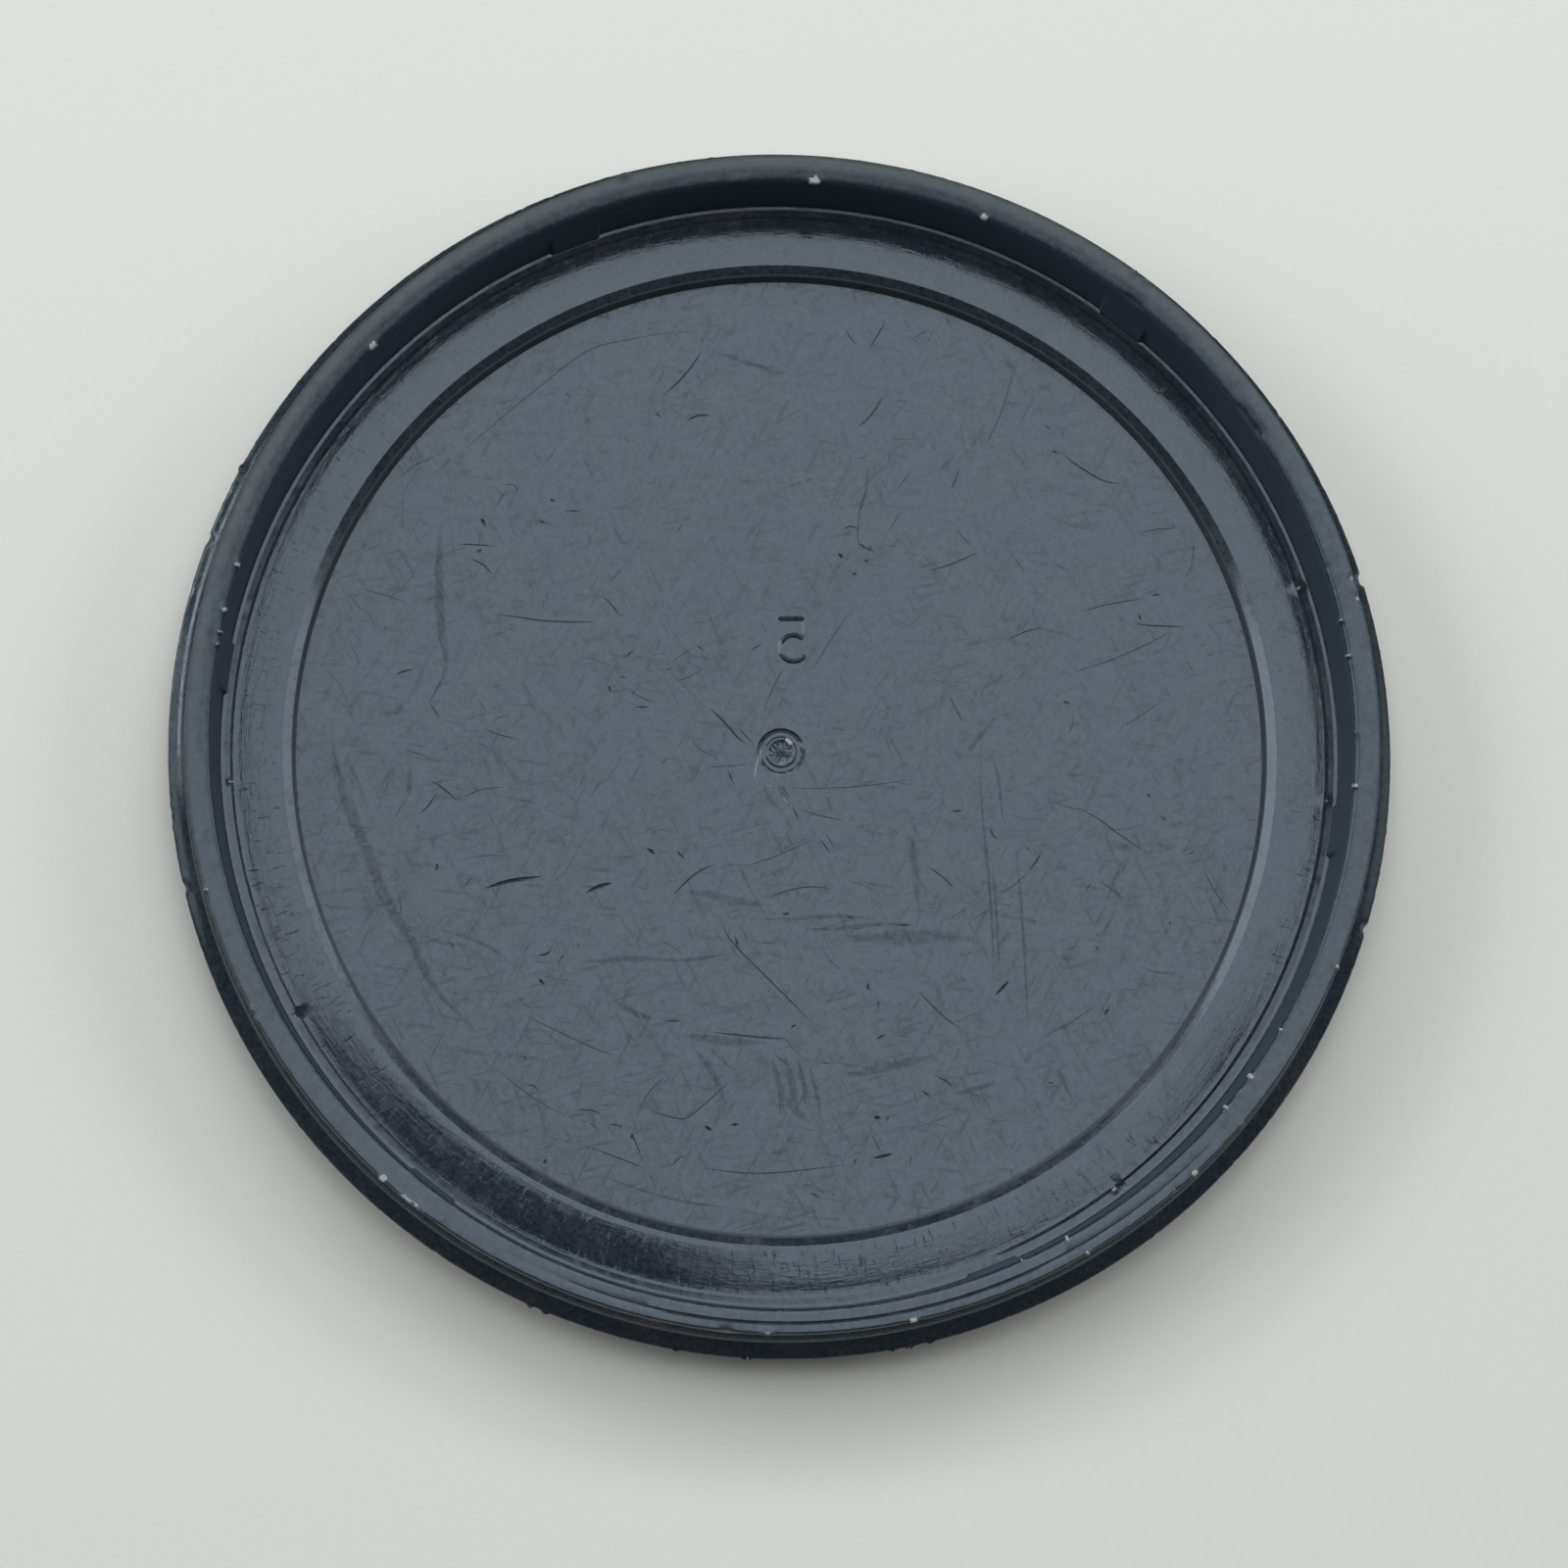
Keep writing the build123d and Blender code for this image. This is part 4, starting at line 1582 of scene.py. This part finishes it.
@dataclass
class CapMoulding:
    """The whole cap, turned about +Z with its mouth up. Sizes in millimetres and degrees."""

    finish: WornPlastic
    view: Viewpoint
    edge_wear: EdgeWear = EdgeWear()
    bore_radius: float = 27.5
    bore_depth: float = 3.85
    bore_draft: float = 0.2
    lead_in_depth: float = 0.95
    lead_in_run: float = 0.3
    rim_wall: float = 1.25
    rim_fall: float = 0.12
    rim_inner_radius: float = 0.35
    rim_outer_radius: float = 0.12
    collar_height: float = 2.68
    collar_draft: float = 0.1
    collar_foot_radius: float = 0.3
    flange_run: float = 0.85
    flange_drop: float = 0.62
    flange_hollow: float = 0.03
    widest_edge_radius: float = 0.15
    floor_thickness: float = 1.4
    front_taper: float = 0.3
    front_edge_radius: float = 1.2
    ledge_width: float = 3.05
    ledge_crest: float = 0.35
    ledge_fall: float = 0.17
    step_depth: float = 0.95
    step_bevel_run: float = 0.5
    step_bevel_drop: float = 0.267
    step_wall_run: float = 0.15
    step_top_rounding: float = 0.06
    step_edge_rounding: float = 0.15
    seat_profile: tuple[Pair, ...] = (
        (0.0, 0.11), (-0.06, 0.047), (-0.2, 0.033), (-0.24, 0.033), (-0.5, 0.05),
    )
    tail_radius: float = 26.2
    tail_drop: float = 0.02
    groove_width: float = 0.15
    groove_depth: float = 0.11
    groove_rest: float = 0.03
    groove_shares: tuple[Pair, ...] = (
        (0.0, 0.6), (170.0, 0.4), (210.0, 0.4), (225.0, 0.3), (255.0, 0.1), (290.0, 0.1), (297.0, 0.8),
        (312.0, 1.0), (325.0, 0.9), (345.0, 0.6),
    )
    score_radius: float = 28.52
    score_half: float = 0.09
    score_depth: float = 0.07
    score_shares: tuple[Pair, ...] = (
        (240.0, 0.0), (262.0, 0.9), (268.0, 1.0), (285.0, 1.0), (300.0, 0.6), (312.0, 0.5), (322.0, 0.0),
    )
    rib_count: int = 6
    rib_half_angle: float = 2.667
    rib_end_angle: float = 0.333
    rib_proud: float = 0.22
    rib_run_out_gap: float = 0.4
    rib_first_angle: float = 51.5
    inner_inset: float = 0.1
    outer_inset: float = 0.04
    edge_slant: float = 0.7
    edge_ragged: float = 0.03
    seat_ragged: float = 0.012
    segments: int = 1080
    arc_rows: int = 5
    guide_radius: float = 10.0
    weld_gap: float = 0.001
    floor_margin: float = 0.01
    sharp_angle: float = 28.0

    def mouth_radius(self) -> float:
        """Returns the mouth's radius at the rim."""
        return self.bore_radius + self.lead_in_run

    def rim_radius(self) -> float:
        """Returns the rim's outer radius."""
        return self.mouth_radius() + self.rim_wall

    def widest_radius(self) -> float:
        """Returns the radius of the flange's outer edge."""
        return self.rim_radius() + self.collar_draft + self.flange_run

    def step_foot(self) -> float:
        """Returns the floor disc's radius."""
        return self.bore_radius - self.ledge_width - self.step_bevel_run - self.step_wall_run

    def ledge_height(self) -> float:
        """Returns the ledge's height above the front face."""
        return self.floor_thickness + self.step_depth

    def bore_foot(self) -> float:
        """Returns the height of the ledge's outer edge, which lies lower than its inner one."""
        return self.ledge_height() - self.ledge_fall

    def rim_height(self) -> float:
        """Returns the rim's height above the front face."""
        return self.ledge_height() + self.bore_depth

    def rim_level(self, radius: float) -> float:
        """Returns the height of the rim's top at a radius; it falls towards the mouth."""
        return self.rim_height() - self.rim_fall * (self.rim_radius() - radius) / self.rim_wall

    def collar_foot(self) -> float:
        """Returns the height of the flange's inner edge."""
        return self.rim_height() - self.collar_height

    def widest_height(self) -> float:
        """Returns the height of the flange's outer edge."""
        return self.collar_foot() - self.flange_drop

    def corners(self) -> list[Corner]:
        """Lists the section's corners from the middle of the front face round to the floor disc.

        Returns:
            The corners in order.
        """
        mouth = self.mouth_radius()
        collar = self.rim_radius() + self.collar_draft
        flange_middle = self.collar_foot() - self.flange_drop / 2
        score = [self.score_radius + side * self.score_half for side in (1.0, 0.0, -1.0)]
        top = self.ledge_height()
        foot = self.bore_foot()
        seat = [Corner(self.bore_radius + run, foot + rise) for run, rise in self.seat_profile]
        groove = seat[-1].radius
        ledge = self.bore_radius - self.ledge_width
        crest = ledge + self.ledge_crest
        tail_end = groove - self.groove_width - self.groove_rest
        tail_height = top - self.ledge_fall * (self.tail_radius - crest) / (tail_end - crest)
        bevel_foot = ledge - self.step_bevel_run
        return [
            Corner(0.0, 0.0, rows=2),
            Corner(self.widest_radius() - self.front_taper, 0.0, self.front_edge_radius, rows=2),
            Corner(self.widest_radius(), self.widest_height(), self.widest_edge_radius, rows=2),
            Corner(collar + self.flange_run / 2, flange_middle - self.flange_hollow, rows=2),
            Corner(collar, self.collar_foot(), self.collar_foot_radius, rows=3),
            Corner(self.rim_radius(), self.rim_height(), self.rim_outer_radius, rows=2),
            *(Corner(radius, self.rim_level(radius)) for radius in score),
            Corner(mouth, self.rim_level(mouth), self.rim_inner_radius, rows=2),
            Corner(self.bore_radius + self.bore_draft, self.rim_height() - self.lead_in_depth, rows=5),
            *seat,
            Corner(groove, foot),
            Corner(groove - self.groove_width, foot - self.tail_drop),
            Corner(tail_end, foot - self.tail_drop, rows=2),
            Corner(self.tail_radius, tail_height, rows=3),
            Corner(crest, top),
            Corner(ledge, top, self.step_top_rounding, rows=3),
            Corner(bevel_foot, top - self.step_bevel_drop, self.step_edge_rounding, rows=3),
            Corner(self.step_foot(), self.floor_thickness),
        ]

    def section(self) -> list[Pair]:
        """Rounds the section's corners and divides its straights into rows.

        Returns:
            Radius and height of each row, in millimetres.
        """
        corners = self.corners()
        points = [Vector((corner.radius, corner.height)) for corner in corners]
        runs: list[list[Vector]] = []
        for index, corner in enumerate(corners):
            point = points[index]
            if corner.rounding == 0.0:
                runs.append([point])
                continue
            before = (points[index - 1] - point).normalized()
            after = (points[index + 1] - point).normalized()
            half = before.angle(after) / 2
            centre = point + (before + after).normalized() * (corner.rounding / math.sin(half))
            reach = corner.rounding / math.tan(half)
            start = point + before * reach - centre
            end = point + after * reach - centre
            turns = [start.slerp(end, step / self.arc_rows) for step in range(self.arc_rows + 1)]
            runs.append([centre + turn.normalized() * corner.rounding for turn in turns])
        rows: list[Vector] = []
        for corner, run, following in zip(corners, runs, runs[1:]):
            rows.extend(run)
            rows.extend(run[-1].lerp(following[0], step / corner.rows) for step in range(1, corner.rows))
        rows.extend(runs[-1])
        return [(row.x, row.y) for row in rows]

    def section_curve(self) -> bpy.types.Object:
        """Makes the section a curve that a ring of guide_radius can carry round.

        Returns:
            The curve object.
        """
        curve = bpy.data.curves.new("section", "CURVE")
        curve.dimensions = "3D"
        spline = curve.splines.new("POLY")
        rows = self.section()
        spline.points.add(len(rows) - 1)
        for point, (radius, height) in zip(spline.points, rows):
            point.co = ((radius - self.guide_radius) * MM, -height * MM, 0.0, 1.0)
        return placed("section", curve)

    def edge_lines(self) -> dict[Edge, EdgeLine]:
        """Finds where the edges that wear run in the section.

        Returns:
            The line of each edge.
        """
        mouth = self.mouth_radius()
        inner = (mouth + self.inner_inset, self.rim_level(mouth) - self.inner_inset)
        outer = (self.rim_radius() - self.outer_inset, self.rim_height() - self.outer_inset)
        widest = (self.widest_radius() - self.outer_inset, self.widest_height())
        lip_run, lip_rise = self.seat_profile[-1]
        seat = (self.bore_radius + lip_run, self.bore_foot() + lip_rise)
        down_and_out = (self.edge_slant, -self.edge_slant)
        down_and_in = (-self.edge_slant, -self.edge_slant)
        straight_in = (-1.0, 0.0)
        return {
            Edge.RIM_INNER: EdgeLine(*inner, down_and_out, self.edge_ragged),
            Edge.RIM_OUTER: EdgeLine(*outer, down_and_in, self.edge_ragged),
            Edge.WIDEST: EdgeLine(*widest, straight_in, self.edge_ragged),
            Edge.SEAT: EdgeLine(*seat, down_and_out, self.seat_ragged),
        }

    def lathe_tree(self, floor: bpy.types.Object, material: bpy.types.Material) -> PartTree:
        """Builds the tree that turns the section, welds the floor disc in and raises the grip ribs.

        Args:
            floor: the floor disc.
            material: the cap's finish.

        Returns:
            The tree, ready to run on the section.
        """
        lengths = {
            "Guide Radius": self.guide_radius,
            "Weld Gap": self.weld_gap,
            "Bore Radius": self.bore_radius,
            "Mouth Radius": self.mouth_radius(),
            "Front Top": self.bore_foot() / 2,
            "Rib Foot": self.bore_foot(),
            "Rib Top": self.rim_height() - self.lead_in_depth - self.rib_run_out_gap,
            "Rib Proud": self.rib_proud,
        }
        angles = {
            "Rib First Angle": self.rib_first_angle,
            "Rib Half Pitch": 180.0 / self.rib_count,
            "Rib Inner Angle": self.rib_half_angle - self.rib_end_angle / 2,
            "Rib Outer Angle": self.rib_half_angle + self.rib_end_angle / 2,
        }
        part = PartTree("cap_lathe")
        sketch = part.sketch
        segments = part.named("Segments", "Int", self.segments)
        disc = part.named("Floor Disc", "Object", floor)
        finish = part.named("Finish", "Material", material)
        sizes = {name: part.named(name, "Float", length * MM) for name, length in lengths.items()}
        for name, angle in angles.items():
            sizes[name] = part.named(name, "Float", math.radians(angle))
        circle = {"Resolution": segments, "Radius": sizes["Guide Radius"]}
        ring = sketch.add("GeometryNodeCurvePrimitiveCircle", circle)
        sweep = {"Curve": ring.outputs[0], "Profile Curve": part.entry.outputs[0]}
        turned = sketch.add("GeometryNodeCurveToMesh", sweep)
        carried = sketch.add("GeometryNodeObjectInfo", {"Object": disc})
        joined = sketch.add("GeometryNodeJoinGeometry")
        sketch.tree.links.new(turned.outputs[0], joined.inputs[0])
        sketch.tree.links.new(carried.outputs["Geometry"], joined.inputs[0])
        seam = {"Geometry": joined.outputs[0], "Distance": sizes["Weld Gap"]}
        welded = sketch.add("GeometryNodeMergeByDistance", seam)
        shift = {"Geometry": welded.outputs[0], "Offset": self.rib_shift(sketch, sizes)}
        part.close(sketch.add("GeometryNodeSetPosition", shift).outputs[0], finish)
        return part

    def rib_shift(self, sketch: NodeSketch, sizes: dict[str, Socket]) -> Socket:
        """Works out how the points of the bore move inwards to make the ribs.

        Args:
            sketch: the lathe's tree.
            sizes: the tree's named sizes.

        Returns:
            The shift of each point.
        """
        places = CapPlaces(sketch, sketch.add("GeometryNodeInputPosition").outputs[0])
        turn = sketch.math("ARCTAN2", places.axes["Y"], places.axes["X"])
        from_rib = sketch.math("SUBTRACT", turn, sizes["Rib First Angle"])
        pitch = sizes["Rib Half Pitch"]
        beside = sketch.math("ABSOLUTE", sketch.math("WRAP", from_rib, pitch, sketch.times(pitch, -1.0)))
        across = sketch.ramp(beside, sizes["Rib Inner Angle"], sizes["Rib Outer Angle"], 1.0, 0.0)
        above = sketch.ramp(places.height, sizes["Rib Foot"], sizes["Rib Top"], 1.0, 0.0)
        proud = sketch.times(sketch.times(across, above), sizes["Rib Proud"])
        wall = sketch.math("MAXIMUM", sizes["Bore Radius"], places.radius)
        face = sketch.math("SUBTRACT", wall, proud)
        sunk = sketch.math("MAXIMUM", sketch.math("SUBTRACT", places.radius, face), 0.0)
        in_bore = sketch.math("LESS_THAN", places.radius, sizes["Mouth Radius"])
        over_front = sketch.math("GREATER_THAN", places.height, sizes["Front Top"])
        inward = sketch.times(sunk, sketch.times(in_bore, over_front))
        return sketch.scaled(places.outward, sketch.times(inward, -1.0))

    def build(self) -> bpy.types.Object:
        """Makes the cap and fixes it to the frame.

        Returns:
            The cap.
        """
        material = self.finish.build()
        floor = FloorDisc(self.step_foot(), self.floor_thickness, self.segments, self.view).build()
        cap = self.lathe_tree(floor, material).run(self.section_curve(), "cap_moulding")
        bpy.data.objects.remove(floor)
        groove = self.bore_radius + self.seat_profile[-1][0]
        RingCut(groove, self.bore_foot(), self.groove_depth, self.groove_shares).apply(cap.data)
        level = self.rim_level(self.score_radius)
        RingCut(self.score_radius, level, self.score_depth, self.score_shares).apply(cap.data)
        self.edge_wear.apply(cap.data, self.edge_lines(), self.view)
        self.close_up(cap.data)
        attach(cap, "root")
        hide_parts("lens_cap")
        return cap

    def close_up(self, mesh: bpy.types.Mesh) -> None:
        """Turns all faces outwards, and sets which edges look sharp and that the floor's faces look flat.

        Args:
            mesh: the cap's mesh.
        """
        shape = bmesh.new()
        shape.from_mesh(mesh)
        bmesh.ops.recalc_face_normals(shape, faces=shape.faces)
        reach = self.step_foot() + self.floor_margin
        smooth = []
        for face in shape.faces:
            ends = [vertex.co / MM for vertex in face.verts]
            on_floor = all(end.xy.length < reach and end.z > self.floor_thickness / 2 for end in ends)
            smooth.append(not on_floor)
        loose = sum(not edge.is_manifold for edge in shape.edges)
        shape.to_mesh(mesh)
        shape.free()
        mesh.set_sharp_from_angle(angle=math.radians(self.sharp_angle))
        mesh.polygons.foreach_set("use_smooth", smooth)
        sizes = (len(mesh.vertices), len(mesh.polygons), loose)
        LOG.info("cap mesh: %d vertices, %d faces, %d open edges", *sizes)


def main() -> None:
    """Builds the camera, the light and the cap."""
    logging.basicConfig(level=logging.INFO)
    view = Viewpoint()
    view.build()
    Studio().build()
    cap = CapMoulding(WornPlastic(), view).build()
    LOG.info("%s: %d faces", cap.name, len(cap.data.polygons))


if __name__ == "__main__":
    main()
